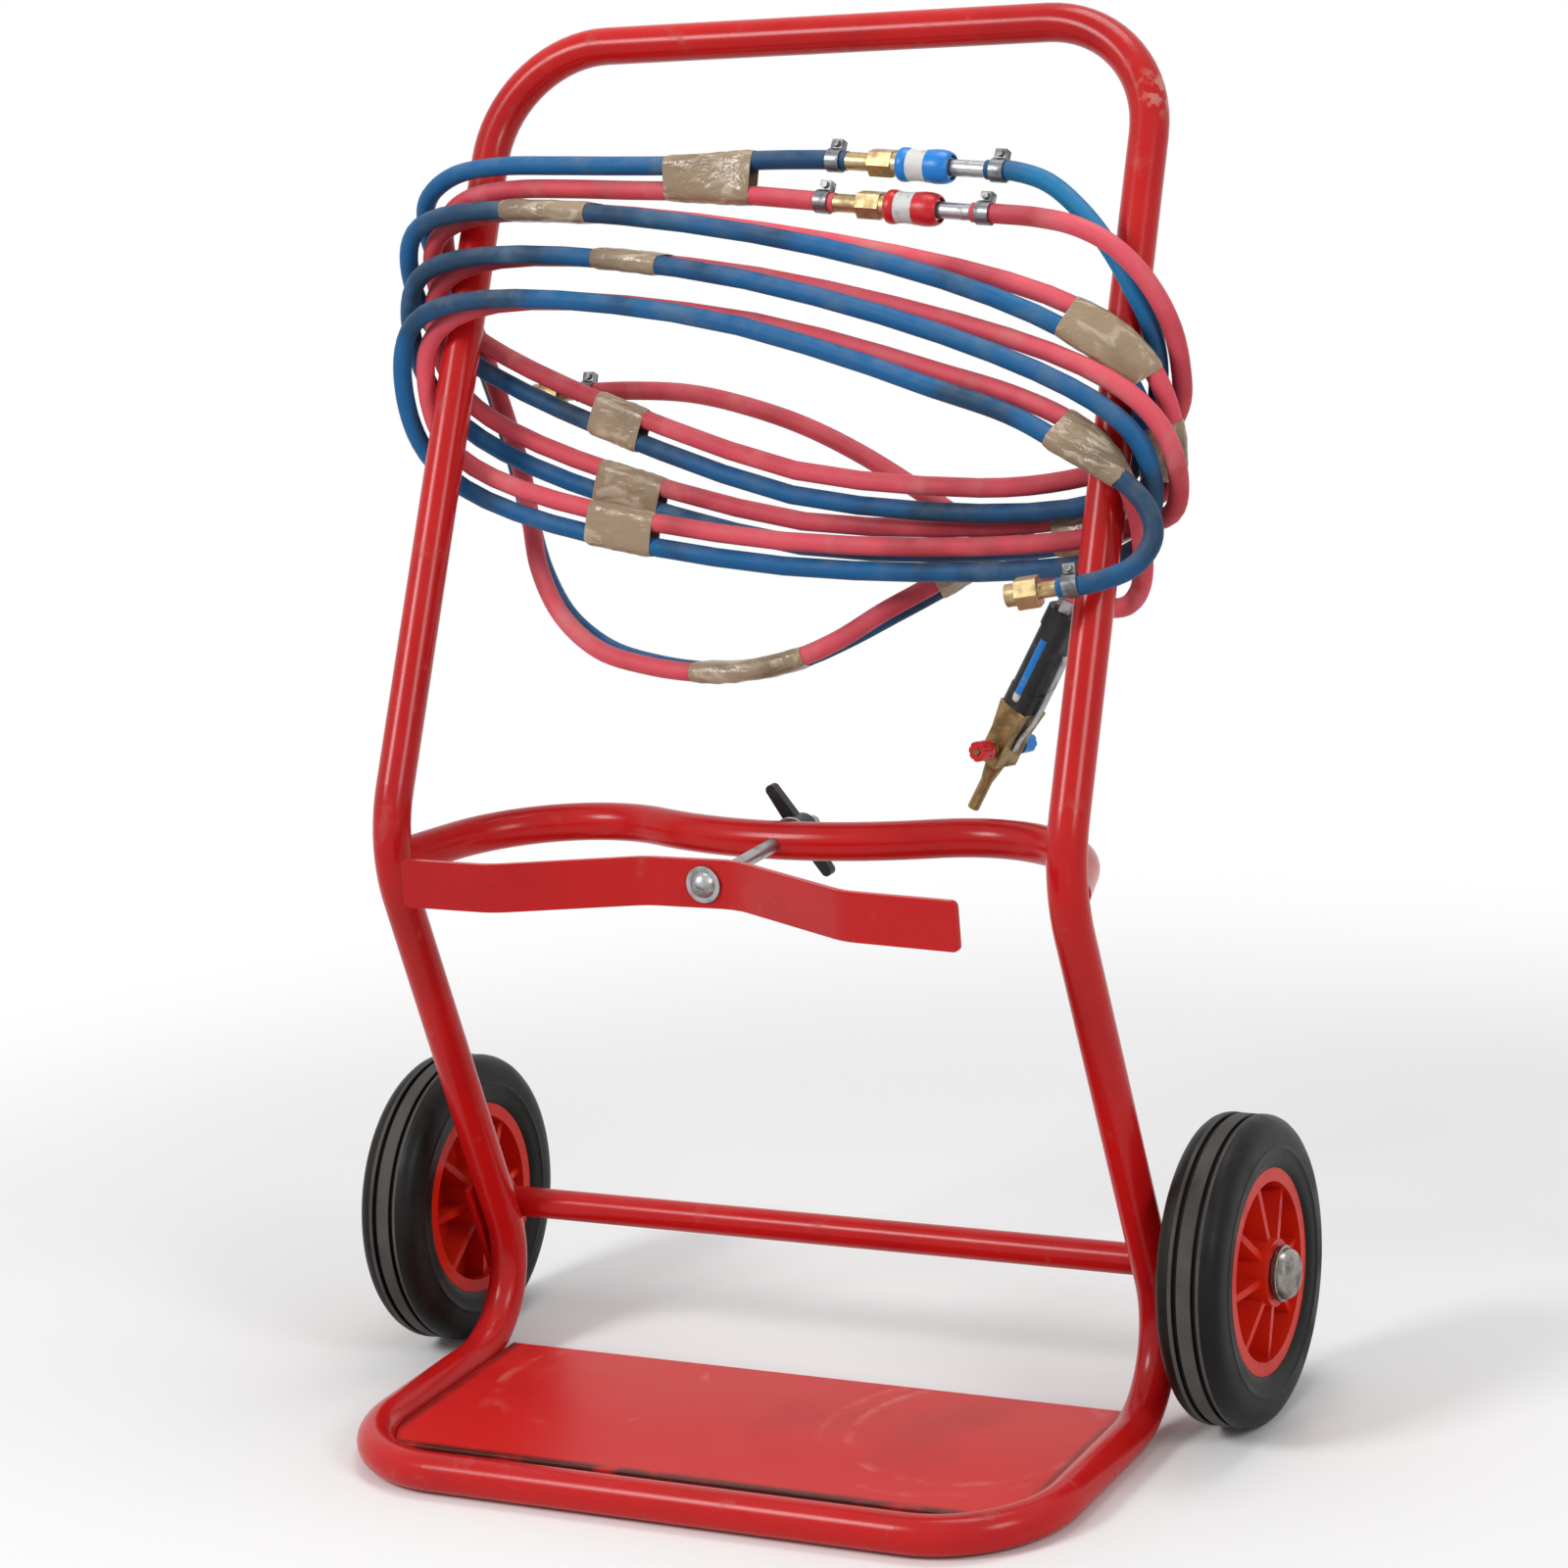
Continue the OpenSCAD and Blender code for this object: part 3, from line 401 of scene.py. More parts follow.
def band(name, blue, red):
    count = len(blue)
    middle = (blue + red) / 2
    verts = []
    around = 28
    for i in range(count):
        j, k = max(i - 1, 0), min(i + 1, count - 1)
        along = unit(middle[k] - middle[j])
        apart = red[i] - blue[i]
        half = np.linalg.norm(apart) / 2
        e = unit(apart - apart.dot(along) * along)
        f = np.cross(along, e)
        at_end = i in (0, count - 1)
        edge = tape_end if at_end else tape_thick
        for m in range(around):
            a = 2 * math.pi * m / around
            c, s = math.cos(a), math.sin(a)
            ripple = Vector((c * fold_around, s * fold_around, i * fold_along))
            fold = fold_height * noise.noise(Vector(middle[i] * fold_scale) + ripple)
            wrap = wrap_step * ((i * wrap_slant + m / around) % 1)
            r = hose_r + edge + (0 if at_end else fold + wrap)
            side = half * max(-1, min(1, flat_side * c))
            verts.append(middle[i] + e * (side + r * c) + f * r * s)
    faces = []
    for i in range(count - 1):
        for m in range(around):
            here, next_on = i * around + m, i * around + (m + 1) % around
            faces.append((here, next_on, next_on + around, here + around))
    mesh = bpy.data.meshes.new(name)
    mesh.from_pydata([tuple(v) for v in verts], [], faces)
    mesh.materials.append(tape)
    mesh.shade_smooth()
    made = bpy.data.objects.new(name, mesh)
    scene.collection.objects.link(made)
    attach(made, "frame")
    return made


def coil_band(name, begin, end):
    turns = np.linspace(begin, end, band_rings)
    return band(name, space([strand(u, -1) for u in turns]), space([strand(u, 1) for u in turns]))


def hand_band(name, blue, red, centre, length):
    place = space([centre])[0]
    pair = []
    for line in (blue, red):
        travel = np.r_[0, np.cumsum(np.linalg.norm(np.diff(line, axis=0), axis=1))]
        at = travel[np.argmin(np.linalg.norm(line - place, axis=1))]
        spots = np.linspace(at - length / 2, at + length / 2, band_rings)
        pair.append(np.stack([np.interp(spots, travel, line[:, k]) for k in range(3)], 1))
    return band(name, *pair)


supply_pair = lines["hose_blue_supply"], lines["hose_red_supply"]
torch_pair = lines["hose_blue_torch"], lines["hose_red_torch"]
supply_bands = [
    coil_band("tape_front_high_left", 247.5, 257),
    coil_band("tape_front_high_right", 299, 324),
    coil_band("tape_right_bend", 352, 392),
    coil_band("tape_front_middle_left", 618, 623.4),
    coil_band("tape_back_high_left", 101.8, 106.4),
    coil_band("tape_back_middle_left", 461, 467),
    coil_band("tape_back_middle_right", 409, 428),
    coil_band("tape_back_low_left", 820, 826),
    hand_band("tape_front_low_right", *supply_pair, (306, 329, 40), 0.07),
]
torch_bands = [
    hand_band("tape_front_top", *torch_pair, (-64, 562, 46), 0.08),
    hand_band("tape_loop_low", *torch_pair, (-40, 183, -102), 0.1),
    hand_band("tape_loop_right", *torch_pair, (124, 276, -131), 0.045),
]

# Hose couplers
# Two quick couplers join the supply hoses to the torch hoses. Each has a turned brass body with a hexagon,
# a coloured sleeve that slides back to let go, and a zinc-plated nipple.


# The separate lumps of a mesh, one after the other
def lump_parts(work):
    left = set(work.verts)
    while left:
        lump = {left.pop()}
        edge = list(lump)
        while edge:
            for e in edge.pop().link_edges:
                for v in e.verts:
                    if v in left:
                        left.remove(v)
                        lump.add(v)
                        edge.append(v)
        yield lump


weld_up, flat_angle, sharp_angle, corner_r = 3e-6, math.radians(0.8), math.radians(28), 0.005


# A copy of a CAD piece's mesh with its edges rounded, which stands for that piece
def eased(source, radius, paint, steps=2, keep=None, name=None, corners=None):
    work = bmesh.new()
    work.from_mesh(frame["nodes"][source].data)
    bmesh.ops.remove_doubles(work, verts=work.verts, dist=weld_up)
    if keep:
        drop = []
        for lump in list(lump_parts(work)):
            if not keep(sum((v.co for v in lump), Vector()) / len(lump)):
                drop += lump
        bmesh.ops.delete(work, geom=drop, context="VERTS")
    bmesh.ops.dissolve_limit(work, angle_limit=flat_angle, verts=work.verts, edges=work.edges)
    if corners:
        ends = [e for e in work.edges if corners(e)]
        bmesh.ops.bevel(work, geom=ends, offset=corner_r, segments=4, profile=0.5, affect="EDGES")
    sharp = [e for e in work.edges if e.is_manifold and e.calc_face_angle() > sharp_angle]
    if sharp:
        bmesh.ops.bevel(
            work, geom=sharp, offset=radius, segments=steps, profile=0.5, affect="EDGES", clamp_overlap=True,
        )
    mesh = bpy.data.meshes.new(name or source + "_skin")
    work.to_mesh(mesh)
    work.free()
    mesh.materials.append(paint)
    mesh.shade_smooth()
    made = bpy.data.objects.new(mesh.name, mesh)
    scene.collection.objects.link(made)
    weights = made.modifiers.new("even shading", "WEIGHTED_NORMAL")
    weights.keep_sharp = True
    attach(made, frame["nodes"][source]["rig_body"])
    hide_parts(source)
    return made


brass, tree, shader = finish("turned brass", (0.46, 0.345, 0.185), 0.34, metallic=1.0)
dull = use(tree, patches, Scale=70, Low=0.42, High=0.68)
cover(tree, shader, (0.29, 0.205, 0.105), dull)
vary(tree, shader.inputs["Roughness"], dull, 0.32, 0.55)
bump(tree, shader, use(tree, grain, Scale=1500), 0.0002, 0.4)

zinc, tree, shader = finish("zinc plate", (0.40, 0.41, 0.42), 0.34, metallic=1.0)
dull = use(tree, patches, Scale=90, Low=0.45, High=0.7)
cover(tree, shader, (0.24, 0.24, 0.235), dull)
vary(tree, shader.inputs["Roughness"], dull, 0.3, 0.6)
bump(tree, shader, use(tree, grain, Scale=1200), 0.0002, 0.4)

sleeve_paints = {}
for shade, colour, worn in (
    ("blue", (0.005, 0.190, 0.60), (0.07, 0.24, 0.50)),
    ("red", (0.56, 0.010, 0.015), (0.50, 0.09, 0.08)),
):
    made, tree, shader = finish(shade + " sleeve", colour, 0.36, specular=0.4)
    rubbed = use(tree, patches, Scale=110, Low=0.56, High=0.74)
    cover(tree, shader, worn, rubbed)
    vary(tree, shader.inputs["Roughness"], rubbed, 0.32, 0.55)
    bump(tree, shader, use(tree, grain, Scale=800), 0.0003, 0.4)
    sleeve_paints[shade] = made
pale, tree, shader = finish("pale band", (0.62, 0.62, 0.60), 0.5)
cover(tree, shader, (0.40, 0.40, 0.40), use(tree, patches, Scale=120, Low=0.5, High=0.75))
bump(tree, shader, use(tree, grain, Scale=900), 0.0003, 0.4)
turned_edge, seam_gap = math.radians(38), 1e-6


# A turned piece: a profile of radius and height, taken round an axis
def lathe(name, profile, origin, axis, paint, body, around=64, closed=True):
    z = Vector(axis).normalized()
    x = z.orthogonal().normalized()
    y = z.cross(x)
    verts = []
    for a in range(around):
        turn = 2 * math.pi * a / around
        ray = x * math.cos(turn) + y * math.sin(turn)
        verts += [Vector(origin) + ray * r + z * h for r, h in profile]
    n = len(profile)
    last = n if closed else n - 1
    faces = []
    for a in range(around):
        here, there = a * n, (a + 1) % around * n
        faces += [(here + i, here + (i + 1) % n, there + (i + 1) % n, there + i) for i in range(last)]
    mesh = bpy.data.meshes.new(name)
    mesh.from_pydata(verts, [], faces)
    work = bmesh.new()
    work.from_mesh(mesh)
    bmesh.ops.remove_doubles(work, verts=work.verts, dist=seam_gap)
    bmesh.ops.recalc_face_normals(work, faces=work.faces)
    work.to_mesh(mesh)
    work.free()
    mesh.materials.append(paint)
    mesh.shade_smooth()
    mesh.set_sharp_from_angle(angle=turned_edge)
    made = bpy.data.objects.new(name, mesh)
    scene.collection.objects.link(made)
    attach(made, body)
    return made


sleeve_profile = (
    (0.01008, 0.0003), (0.0124, 0.0003), (0.0134, 0.0010), (0.0140, 0.0026), (0.0140, 0.0062),
    (0.0135, 0.0084), (0.0128, 0.0097), (0.0125, 0.0130), (0.0124, 0.0160), (0.0125, 0.0200),
    (0.0129, 0.0240), (0.0134, 0.0275), (0.0139, 0.0310), (0.0140, 0.0345), (0.0139, 0.0380),
    (0.0134, 0.0415), (0.0125, 0.0443), (0.0114, 0.0461), (0.0104, 0.0467), (0.01008, 0.0467),
)
band_profile = (
    (0.01305, 0.0096), (0.01275, 0.0130), (0.01265, 0.0160), (0.01275, 0.0200), (0.01315, 0.0240),
    (0.01340, 0.0258), (0.01300, 0.0258), (0.01270, 0.0240), (0.01230, 0.0200), (0.01220, 0.0160),
    (0.01230, 0.0130), (0.01260, 0.0096),
)
sleeve_from_hose = 0.0482
for shade in ("blue", "red"):
    eased("coupler_body_" + shade, 0.0006, brass)
    eased("coupler_plug_" + shade, 0.0005, zinc)
    start = Vector(lines[f"hose_{shade}_torch"][0])
    axis = (Vector(lines[f"hose_{shade}_supply"][0]) - start).normalized()
    at = start + axis * sleeve_from_hose
    slider = "sleeve_" + shade
    sleeve = lathe(f"coupler_sleeve_{shade}_skin", sleeve_profile, at, axis, sleeve_paints[shade], slider)
    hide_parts("coupler_sleeve_" + shade)
    lathe(f"coupler_band_{shade}", band_profile, at, axis, pale, slider)

# Hose clips and end fittings
# Pressed zinc-plated clips with one ear grip each hose end. The two free ends carry turned brass nipples
# with union nuts, to be screwed to the gas supply.
clip_steel, tree, shader = finish("clip steel", (0.225, 0.23, 0.24), 0.38, metallic=1.0)
dull = use(tree, patches, Scale=110, Low=0.42, High=0.66)
cover(tree, shader, (0.12, 0.12, 0.12), dull)
vary(tree, shader.inputs["Roughness"], dull, 0.32, 0.6)
bump(tree, shader, use(tree, grain, Scale=1200), 0.0002, 0.4)
eased("hose_clips", 0.0003, clip_steel, steps=1)
for shade, on_right in (("blue", True), ("red", False)):
    eased(
        "end_fittings", 0.0005, brass, name="end_fitting_" + shade,
        keep=lambda c: (c.x > 0) == on_right,
    )

# Cutting torch
# A small torch hangs at the ends of the torch hoses: zinc connectors, a black moulded handle with a blue
# rod let into it, a steel lever along it, a cast brass valve block with a red and a blue knob, and a nozzle.
torch_top = Vector((lines["hose_blue_torch"][-1] + lines["hose_red_torch"][-1]) / 2)
blue_lead = unit(space(blue_run[-1])[0] - space(blue_run[-2])[0])
red_lead = unit(space(red_run[-1])[0] - space(red_run[-2])[0])
down = Vector(unit(blue_lead + red_lead))
aside = down.cross(Vector(lines["hose_red_torch"][-1] - lines["hose_blue_torch"][-1])).normalized()
facing_out = aside.cross(down)
grip, tree, shader = finish("black handle plastic", (0.012, 0.012, 0.013), 0.42, specular=0.3)
cover(tree, shader, (0.05, 0.05, 0.05), use(tree, patches, Scale=70, Low=0.55, High=0.75))
cover(tree, shader, (0.20, 0.19, 0.18), use(tree, dust, Amount=0.2, Scale=80))
bump(tree, shader, use(tree, grain, Scale=900), 0.0004, 0.5)
cast, tree, shader = finish("cast brass", (0.30, 0.205, 0.095), 0.42, metallic=1.0)
dull = use(tree, patches, Scale=70, Low=0.4, High=0.65)
cover(tree, shader, (0.17, 0.105, 0.045), dull)
vary(tree, shader.inputs["Roughness"], dull, 0.35, 0.65)
bump(tree, shader, use(tree, grain, Scale=600), 0.0005, 0.5)
for shade, behind in (("blue", True), ("red", False)):
    eased(
        "torch_connectors", 0.0005, zinc, name="torch_connector_" + shade,
        keep=lambda c: (c.y > torch_top.y) == behind,
    )
handle = eased("torch_handle", 0.002, grip, steps=3)
rod = [(0.0, 0.050), (0.0034, 0.050), (0.0040, 0.0506), (0.0040, 0.1030), (0.0, 0.1030)]
tip = [(0.0, 0.1031), (0.0041, 0.1031), (0.0041, 0.1075), (0.0036, 0.1097), (0.0022, 0.1112), (0.0, 0.1116)]
inlay_depth = 0.0148
let_in = torch_top + facing_out * inlay_depth
for name, profile, colour in (("torch_inlay", rod, sleeve_paints["blue"]), ("torch_inlay_tip", tip, pale)):
    lathe(name, profile, let_in, down, colour, "frame", around=32, closed=False)
bar = (
    (0.058, -0.0148), (0.062, -0.0166), (0.080, -0.0172), (0.108, -0.0170), (0.126, -0.0156), (0.140, -0.0122),
    (0.148, -0.0112), (0.156, -0.0112),
)
half_wide, half_thick, bar_round, bar_edge = 0.0036, 0.0009, 0.0005, 0.8
work = bmesh.new()
rings = []
for h, out in bar:
    spot = torch_top + down * h
    corners = (
        (-half_wide, -half_thick), (half_wide, -half_thick), (half_wide, half_thick), (-half_wide, half_thick),
    )
    rings.append([work.verts.new(spot + facing_out * x + aside * (out + y)) for x, y in corners])
for first, second in zip(rings, rings[1:]):
    for k in range(4):
        work.faces.new((first[k], first[(k + 1) % 4], second[(k + 1) % 4], second[k]))
work.faces.new(rings[0][::-1])
work.faces.new(rings[-1])
bmesh.ops.recalc_face_normals(work, faces=work.faces)
long_edges = [e for e in work.edges if e.calc_face_angle() > bar_edge]
bmesh.ops.bevel(work, geom=long_edges, offset=bar_round, segments=2, profile=0.5, affect="EDGES")
mesh = bpy.data.meshes.new("torch_lever")
work.to_mesh(mesh)
work.free()
mesh.materials.append(zinc)
lever_bar = bpy.data.objects.new("torch_lever", mesh)
scene.collection.objects.link(lever_bar)
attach(lever_bar, "frame")
eased("torch_block", 0.0015, cast, steps=3)
eased("torch_nozzle", 0.0006, cast)
for shade in ("blue", "red"):
    eased("torch_knob_" + shade, 0.0008, sleeve_paints[shade])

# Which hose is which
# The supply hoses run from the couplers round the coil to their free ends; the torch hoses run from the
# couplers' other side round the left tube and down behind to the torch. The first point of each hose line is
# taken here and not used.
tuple(lines["hose_blue_supply"][0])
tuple(lines["hose_red_supply"][0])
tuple(lines["hose_blue_torch"][0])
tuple(lines["hose_red_torch"][0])

# Frame
# Two bent steel tubes are butt welded at the handle and at the front bar. The wavy cradle tube, the axle tube
# and the base plate are welded on, and the whole is sprayed gloss red.
paint, tree, shader = finish("gloss red paint", (0.51, 0.0075, 0.0075), 0.24, specular=0.22)
cover(tree, shader, (0.39, 0.005, 0.007), use(tree, patches, Scale=6, Low=0.45, High=0.72, Detail=4))
rubbed = use(tree, patches, Scale=45, Low=0.60, High=0.80, Detail=7)
cover(tree, shader, (0.45, 0.045, 0.042), rubbed)
cover(tree, shader, (0.16, 0.035, 0.030), use(tree, patches, Scale=170, Low=0.745, High=0.76, Detail=4))
worn_bend = (0.319, 0.206, 1.060)
bend_flecks = use(tree, patches, Scale=105, Low=0.48, High=0.6, Detail=4)
bend_wear = times(tree, around_spot(tree, worn_bend, 0.030, 0.010), bend_flecks)
cover(tree, shader, (0.52, 0.16, 0.135), bend_wear)
cover(tree, shader, (0.46, 0.16, 0.15), use(tree, dust, Amount=0.07, Scale=25))
vary(tree, shader.inputs["Roughness"], rubbed, 0.22, 0.42)
bump(tree, shader, use(tree, grain, Scale=120), 0.0005, 0.08)
bump(tree, shader, use(tree, grain, Scale=700), 0.0003, 0.1)
for name in ("left_frame_tube", "right_frame_tube", "cradle", "axle_tube"):
    piece = frame["nodes"][name]
    piece.data.materials.clear()
    piece.data.materials.append(paint)
eased("axle_plates", 0.001, paint)
# A bead of weld runs round the axle tube at each axle plate, a little uneven
axle_at = Vector((0, 0.08011, 0.125))
plate_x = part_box("axle_plates")[1][0]
bead_at, bead_r = 0.0133, 0.0021
weld_wave, wave_scale, weld_swell, swell_scale = 0.0005, 420, 0.05, 300
angles = [k * math.pi / 6 for k in range(12)]
bead = [(bead_at + bead_r * math.cos(a), bead_r * math.sin(a)) for a in angles]
for side, sign in (("left", -1), ("right", 1)):
    weld_at = Vector((sign * plate_x, 0, 0))
    weld = lathe(f"axle_weld_{side}", bead, axle_at + weld_at, (1, 0, 0), paint, "frame", around=96)
    for v in weld.data.vertices:
        along = Vector((sign * weld_wave, 0, 0)) * noise.noise(v.co * wave_scale)
        v.co += along + (v.co - axle_at - weld_at) * weld_swell * noise.noise(v.co * swell_scale)

# Base plate
# Folded sheet steel between the side tubes, welded on and painted with the frame; its top is scuffed
# in arcs where round loads have been turned on it.
floor_paint, tree, shader = finish("scuffed plate paint", (0.60, 0.020, 0.018), 0.36, specular=0.14)
scuff = use(tree, patches, Scale=26, Low=0.52, High=0.84, Detail=8)
cover(tree, shader, (0.63, 0.048, 0.042), scuff)
cover(tree, shader, (0.50, 0.014, 0.014), use(tree, patches, Scale=9, Low=0.5, High=0.8, Detail=3))
for spot, reach in (
    ((-0.166, -0.043, 0.018), 0.090),
    ((0.186, -0.052, 0.018), 0.104),
    ((0.178, -0.060, 0.018), 0.121),
):
    inside, outside = around_spot(tree, spot, reach - 0.010, reach), around_spot(tree, spot, reach + 0.004, reach)
    broken = use(tree, patches, Scale=34, Low=0.44, High=0.72)
    cover(tree, shader, (0.66, 0.105, 0.088), times(tree, times(tree, inside, outside), broken))
plate_low, plate_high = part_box("base_plate")
place = node(tree, "ShaderNodeSeparateXYZ")
tree.links.new(node(tree, "ShaderNodeTexCoord").outputs["Object"], place.inputs[0])
# Painted shade: dark bands along the plate's front edge and both side edges stand in for the shade in the narrow
# slots between the plate and the tubes, broken up in patches
seam_shade_breakup = use(tree, patches, Scale=26, Low=0.22, High=0.50, Detail=3)
front_seam_shade = ramp(tree, place.outputs["Y"], plate_low[1] + 0.011, plate_low[1] + 0.003)
cover(tree, shader, (0.085, 0.016, 0.012), times(tree, front_seam_shade, seam_shade_breakup))
# Painted shade along the two side edges of the plate
for edge, inward in ((plate_low[0], 1), (plate_high[0], -1)):
    side_seam_shade = ramp(tree, place.outputs["X"], edge + inward * 0.013, edge + inward * 0.004)
    cover(tree, shader, (0.20, 0.014, 0.012), times(tree, side_seam_shade, seam_shade_breakup))
vary(tree, shader.inputs["Roughness"], scuff, 0.3, 0.5)
bump(tree, shader, use(tree, grain, Scale=500), 0.0003, 0.25)
eased("base_plate", 0.0012, floor_paint)

# Wheels
# Solid black rubber tyres are pressed on moulded red plastic rims with eight spokes a side, which turn on
# black bushes. The tread is pale grey, partly from dust and partly as a painted sheen of light; dust also lies on
# the shoulders.
rubber, tree, shader = finish("tyre rubber", (0.0062, 0.0058, 0.0056), 0.5, specular=0.15)
grey = use(tree, patches, Scale=18, Low=0.45, High=0.75, Detail=7)
cover(tree, shader, (0.014, 0.013, 0.012), grey)
cover(tree, shader, (0.06, 0.055, 0.05), use(tree, dust, Amount=0.2, Scale=45))
vary(tree, shader.inputs["Roughness"], grey, 0.4, 0.65)
bump(tree, shader, use(tree, grain, Scale=500), 0.0006, 0.4)
# Partly painted sheen: the tread's pale grey stands partly for dust and partly for a sheen of light on the tread
# ribs; darker patches break it up
tread, tree, shader = finish("tread dust and painted sheen", (0.082, 0.077, 0.072), 0.8, specular=0.2)
tread_darker_patches = use(tree, patches, Scale=16, Low=0.45, High=0.75, Detail=6)
cover(tree, shader, (0.035, 0.033, 0.031), tread_darker_patches)
vary(tree, shader.inputs["Roughness"], tread_darker_patches, 0.8, 0.6)
bump(tree, shader, use(tree, grain, Scale=500), 0.0006, 0.4)
rim_paint, tree, shader = finish("rim plastic", (0.62, 0.020, 0.007), 0.34, specular=0.14)
worn = use(tree, patches, Scale=20, Low=0.48, High=0.75, Detail=6)
cover(tree, shader, (0.46, 0.009, 0.008), worn)
cover(tree, shader, (0.42, 0.13, 0.10), use(tree, dust, Amount=0.06, Scale=40))
vary(tree, shader.inputs["Roughness"], worn, 0.28, 0.46)
bump(tree, shader, use(tree, grain, Scale=300), 0.0004, 0.2)
black, tree, shader = finish("black bush plastic", (0.02, 0.02, 0.02), 0.5)
bump(tree, shader, use(tree, grain, Scale=900), 0.0003, 0.4)
wheel_x = 0.368
tread_r, tread_half = 0.1238, 0.0145
half_tread = [
    (0.1246, 0.0), (0.1246, 0.0054), (0.1240, 0.0060), (0.1212, 0.0063), (0.1208, 0.0068), (0.1208, 0.0092),
    (0.1212, 0.0097), (0.1243, 0.0100), (0.1249, 0.0106), (0.1250, 0.0130), (0.1246, 0.0165), (0.1232, 0.0200),
    (0.1205, 0.0233), (0.1170, 0.0256), (0.1130, 0.0270), (0.1080, 0.0277), (0.1022, 0.0280), (0.1008, 0.0280),
    (0.1000, 0.0285), (0.0988, 0.0285), (0.0980, 0.0279), (0.0920, 0.0276), (0.0880, 0.0268), (0.0850, 0.0256),
    (0.0832, 0.0240), (0.0832, 0.0),
]
for side, sign in (("left", -1), ("right", 1)):
    middle = axle_at + Vector((sign * wheel_x, 0, 0))
    loop = half_tread + [(r, -h) for r, h in reversed(half_tread[1:-1])]
    tyre = lathe(f"tyre_{side}_skin", loop, middle, (1, 0, 0), rubber, "wheel_" + side, around=144)
    tyre.data.materials.append(tread)
    # The tread faces take the pale grey of dust and painted sheen
    for face in tyre.data.polygons:
        off = face.center - middle
        if math.hypot(off.y, off.z) > tread_r and abs(off.x) < tread_half:
            face.material_index = 1
    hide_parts("tyre_" + side)
    eased("rim_" + side, 0.0013, rim_paint, steps=2)
    eased("bush_" + side, 0.0003, black, steps=1)

# Axle and hub caps
# A zinc-plated steel axle goes through the axle tube and both wheels, with washers beside them. Pressed steel
# caps with a narrow flange are driven on its ends and keep the wheels on.
eased("axle", 0.0006, zinc)
eased("axle_washers", 0.0004, zinc, steps=1)
satin, tree, shader = finish("satin cap steel", (0.30, 0.28, 0.255), 0.28, metallic=1.0)
dull = use(tree, patches, Scale=80, Low=0.42, High=0.7)
cover(tree, shader, (0.13, 0.12, 0.11), dull)
vary(tree, shader.inputs["Roughness"], dull, 0.24, 0.5)
bump(tree, shader, use(tree, grain, Scale=900), 0.0003, 0.4)
cap_high = 0.0140
cap = [
    (0.0, 0.0), (0.0222, 0.0), (0.0225, 0.0003), (0.0225, 0.0034), (0.0221, 0.0038), (0.0206, 0.0040),
    (0.0204, 0.0062), (0.0197, 0.0086), (0.0180, 0.0108), (0.0150, 0.0126), (0.0105, 0.0136),
    (0.0050, cap_high), (0.0, cap_high),
]
cap_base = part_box("hub_caps")[1][0] - cap_high
for side, sign in (("left", -1), ("right", 1)):
    cap_at = axle_at + Vector((sign * cap_base, 0, 0))
    made = lathe(f"hub_cap_{side}", cap, cap_at, (sign, 0, 0), satin, "frame", closed=False)
    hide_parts("hub_caps")

# Clamp
# A bent flat steel strap is drawn back towards the cradle by a long bolt through it. The bolt has a
# slotted round head and a washer, and a black lever nut with a threaded insert turns on it behind.
lever, tree, shader = finish("lever plastic", (0.012, 0.012, 0.013), 0.38, specular=0.3)
cover(tree, shader, (0.045, 0.045, 0.045), use(tree, patches, Scale=60, Low=0.52, High=0.75))
bump(tree, shader, use(tree, grain, Scale=800), 0.0004, 0.5)
strap_low, strap_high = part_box("clamp_strap")


# The short edges at the strap's two ends, which are cut round
def strap_corner(e):
    a, b = (v.co for v in e.verts)
    flat = abs(a.z - b.z) < 1e-5 and abs(a.x - b.x) < 0.003 and abs(a.y - b.y) > 0.002
    return flat and min(abs(a.x - strap_low[0]), abs(a.x - strap_high[0])) < 0.006


eased("clamp_strap", 0.0009, paint, steps=2, corners=strap_corner)
eased("clamp_bolt", 0.0005, zinc)
eased("strap_washer", 0.0004, zinc, steps=1)
eased("nut_washer", 0.0004, zinc, steps=1)
eased("lever_nut", 0.002, lever, steps=3)
eased("nut_insert", 0.0004, zinc, steps=1)

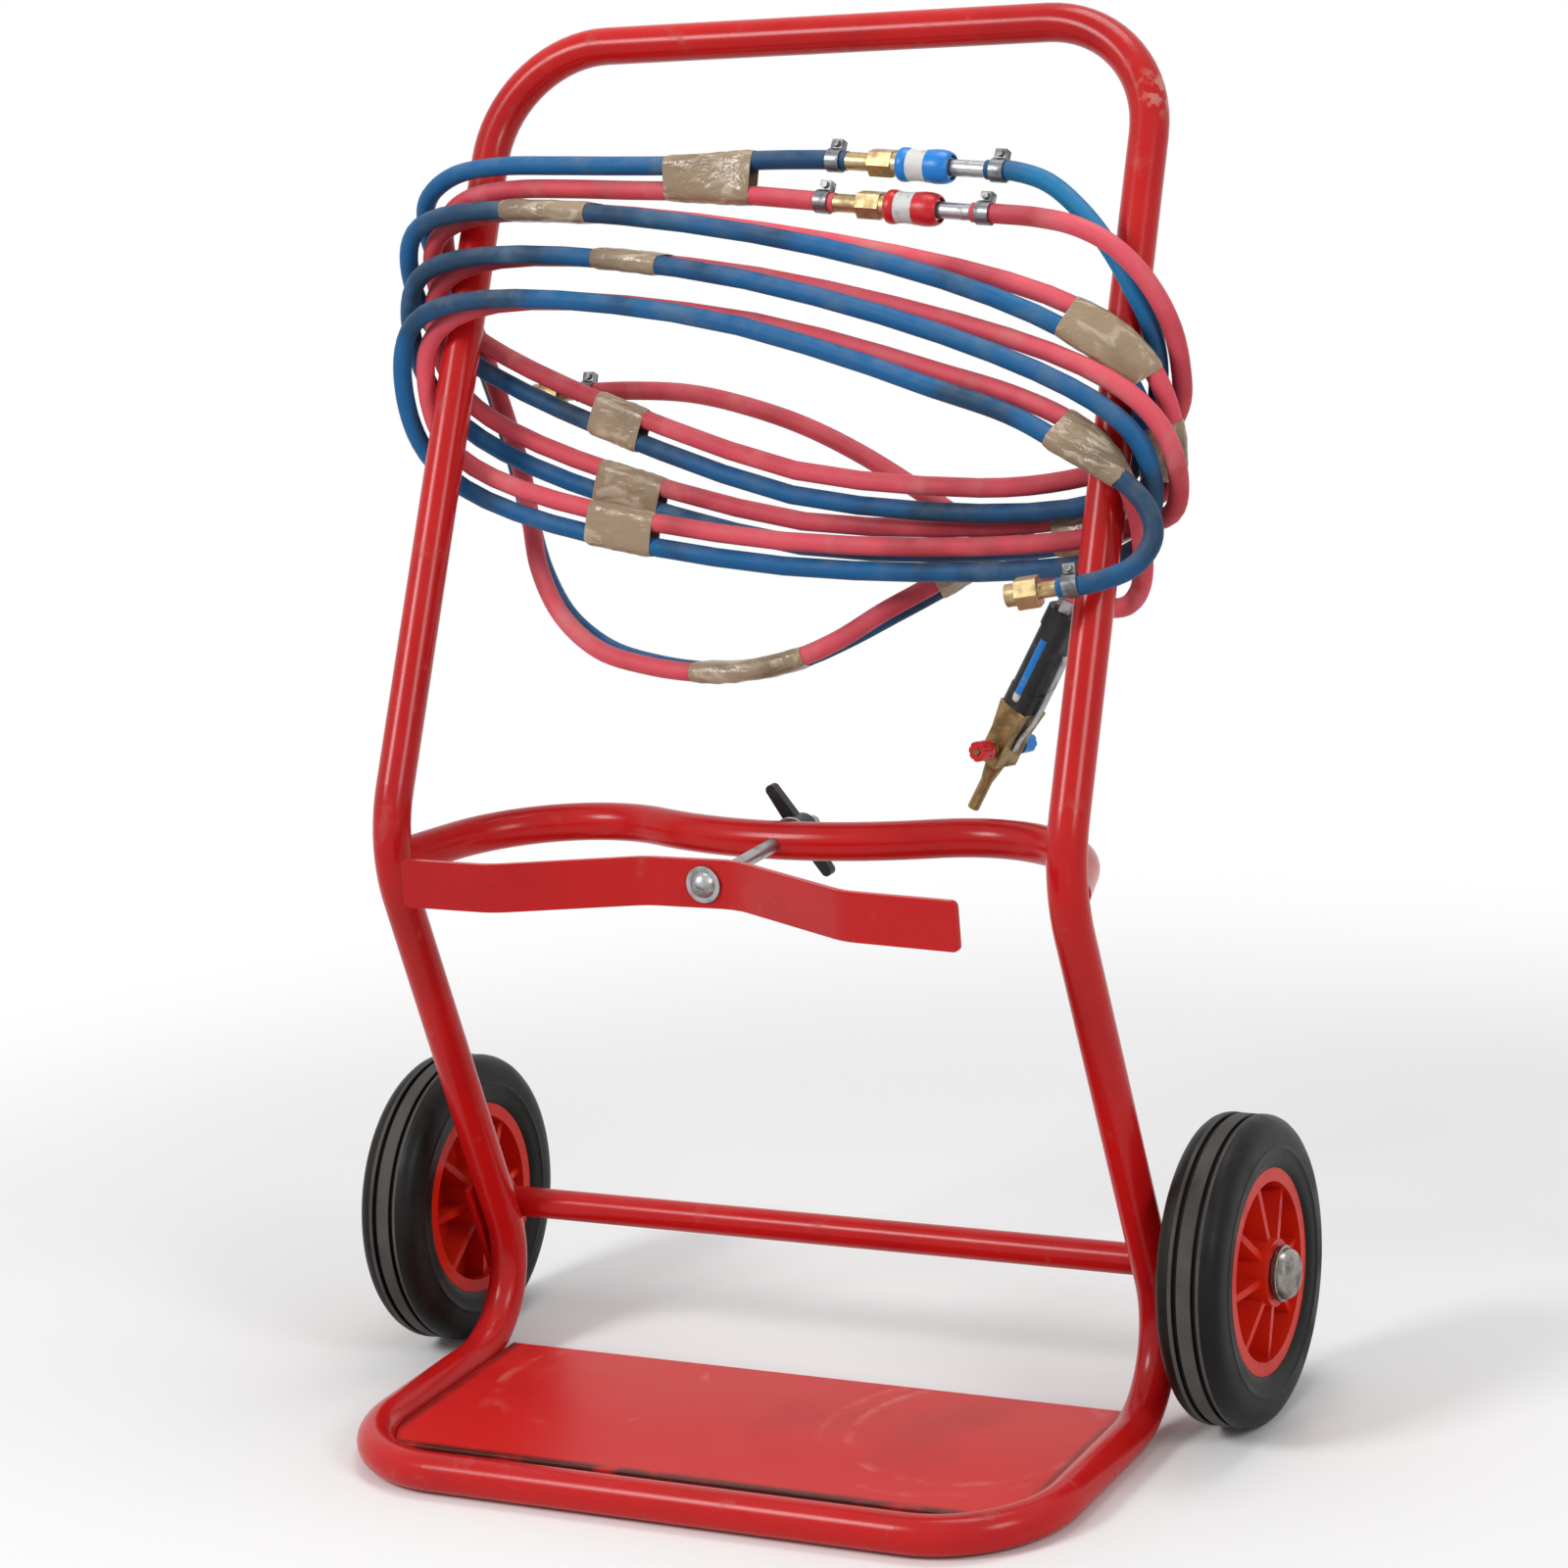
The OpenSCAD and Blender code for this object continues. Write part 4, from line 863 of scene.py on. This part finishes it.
# Floor and light
# A plain pale floor fades out into a white background. A wide soft light stands in front on the left, a
# weaker one on the right, and one hangs above.
floor_half, floor_drop, fade_from, fade_to = 2, 0.0004, 0.75, 1.7
ground, tree, shader = finish("pale floor", (0.86, 0.86, 0.86), 0.9, specular=0.1)
far = node(tree, "ShaderNodeVectorMath", operation="LENGTH")
tree.links.new(node(tree, "ShaderNodeTexCoord").outputs["Object"], far.inputs[0])
clear = node(tree, "ShaderNodeBsdfTransparent")
fade = node(tree, "ShaderNodeMixShader")
tree.links.new(ramp(tree, far.outputs["Value"], fade_from, fade_to), fade.inputs[0])
tree.links.new(shader.outputs[0], fade.inputs[1])
tree.links.new(clear.outputs[0], fade.inputs[2])
tree.links.new(fade.outputs[0], tree.nodes["Material Output"].inputs["Surface"])
mesh = bpy.data.meshes.new("floor")
floor_corners = [(x * floor_half, y * floor_half, 0) for x, y in ((-1, -1), (1, -1), (1, 1), (-1, 1))]
mesh.from_pydata(floor_corners, [], [(0, 1, 2, 3)])
mesh.materials.append(ground)
ground_piece = bpy.data.objects.new("floor", mesh)
ground_piece.location = (0, 0, -floor_drop)
scene.collection.objects.link(ground_piece)

world = bpy.data.worlds.new("studio")
scene.world = world
world.use_nodes = True
tree = world.node_tree
sky = tree.nodes["Background"]
sky.inputs["Color"].default_value = (1, 1, 1, 1)
seen = node(tree, "ShaderNodeLightPath")
through = node(tree, "ShaderNodeMath", operation="MAXIMUM")
tree.links.new(seen.outputs["Is Glossy Ray"], through.inputs[0])
tree.links.new(seen.outputs["Is Transmission Ray"], through.inputs[1])
some = node(tree, "ShaderNodeMath", operation="MAXIMUM")
tree.links.new(seen.outputs["Is Camera Ray"], some.inputs[0])
tree.links.new(through.outputs[0], some.inputs[1])
soft_light, white_light = 0.45, 1.0
vary(tree, sky.inputs["Strength"], some.outputs[0], soft_light, white_light)
aim = Vector((0, 0, 0.5))
for name, place, size, power in (
    ("key light", (-1.6, -2.4, 2.6), 1.0, 60),
    ("side light", (2.6, -1.2, 1.9), 0.9, 26),
    ("top light", (0.2, 0.6, 3.2), 1.2, 30),
):
    lamp = bpy.data.lights.new(name, "AREA")
    lamp.size = size
    lamp.energy = power
    made = bpy.data.objects.new(name, lamp)
    made.location = place
    made.rotation_euler = (aim - Vector(place)).to_track_quat("-Z", "Y").to_euler()
    scene.collection.objects.link(made)
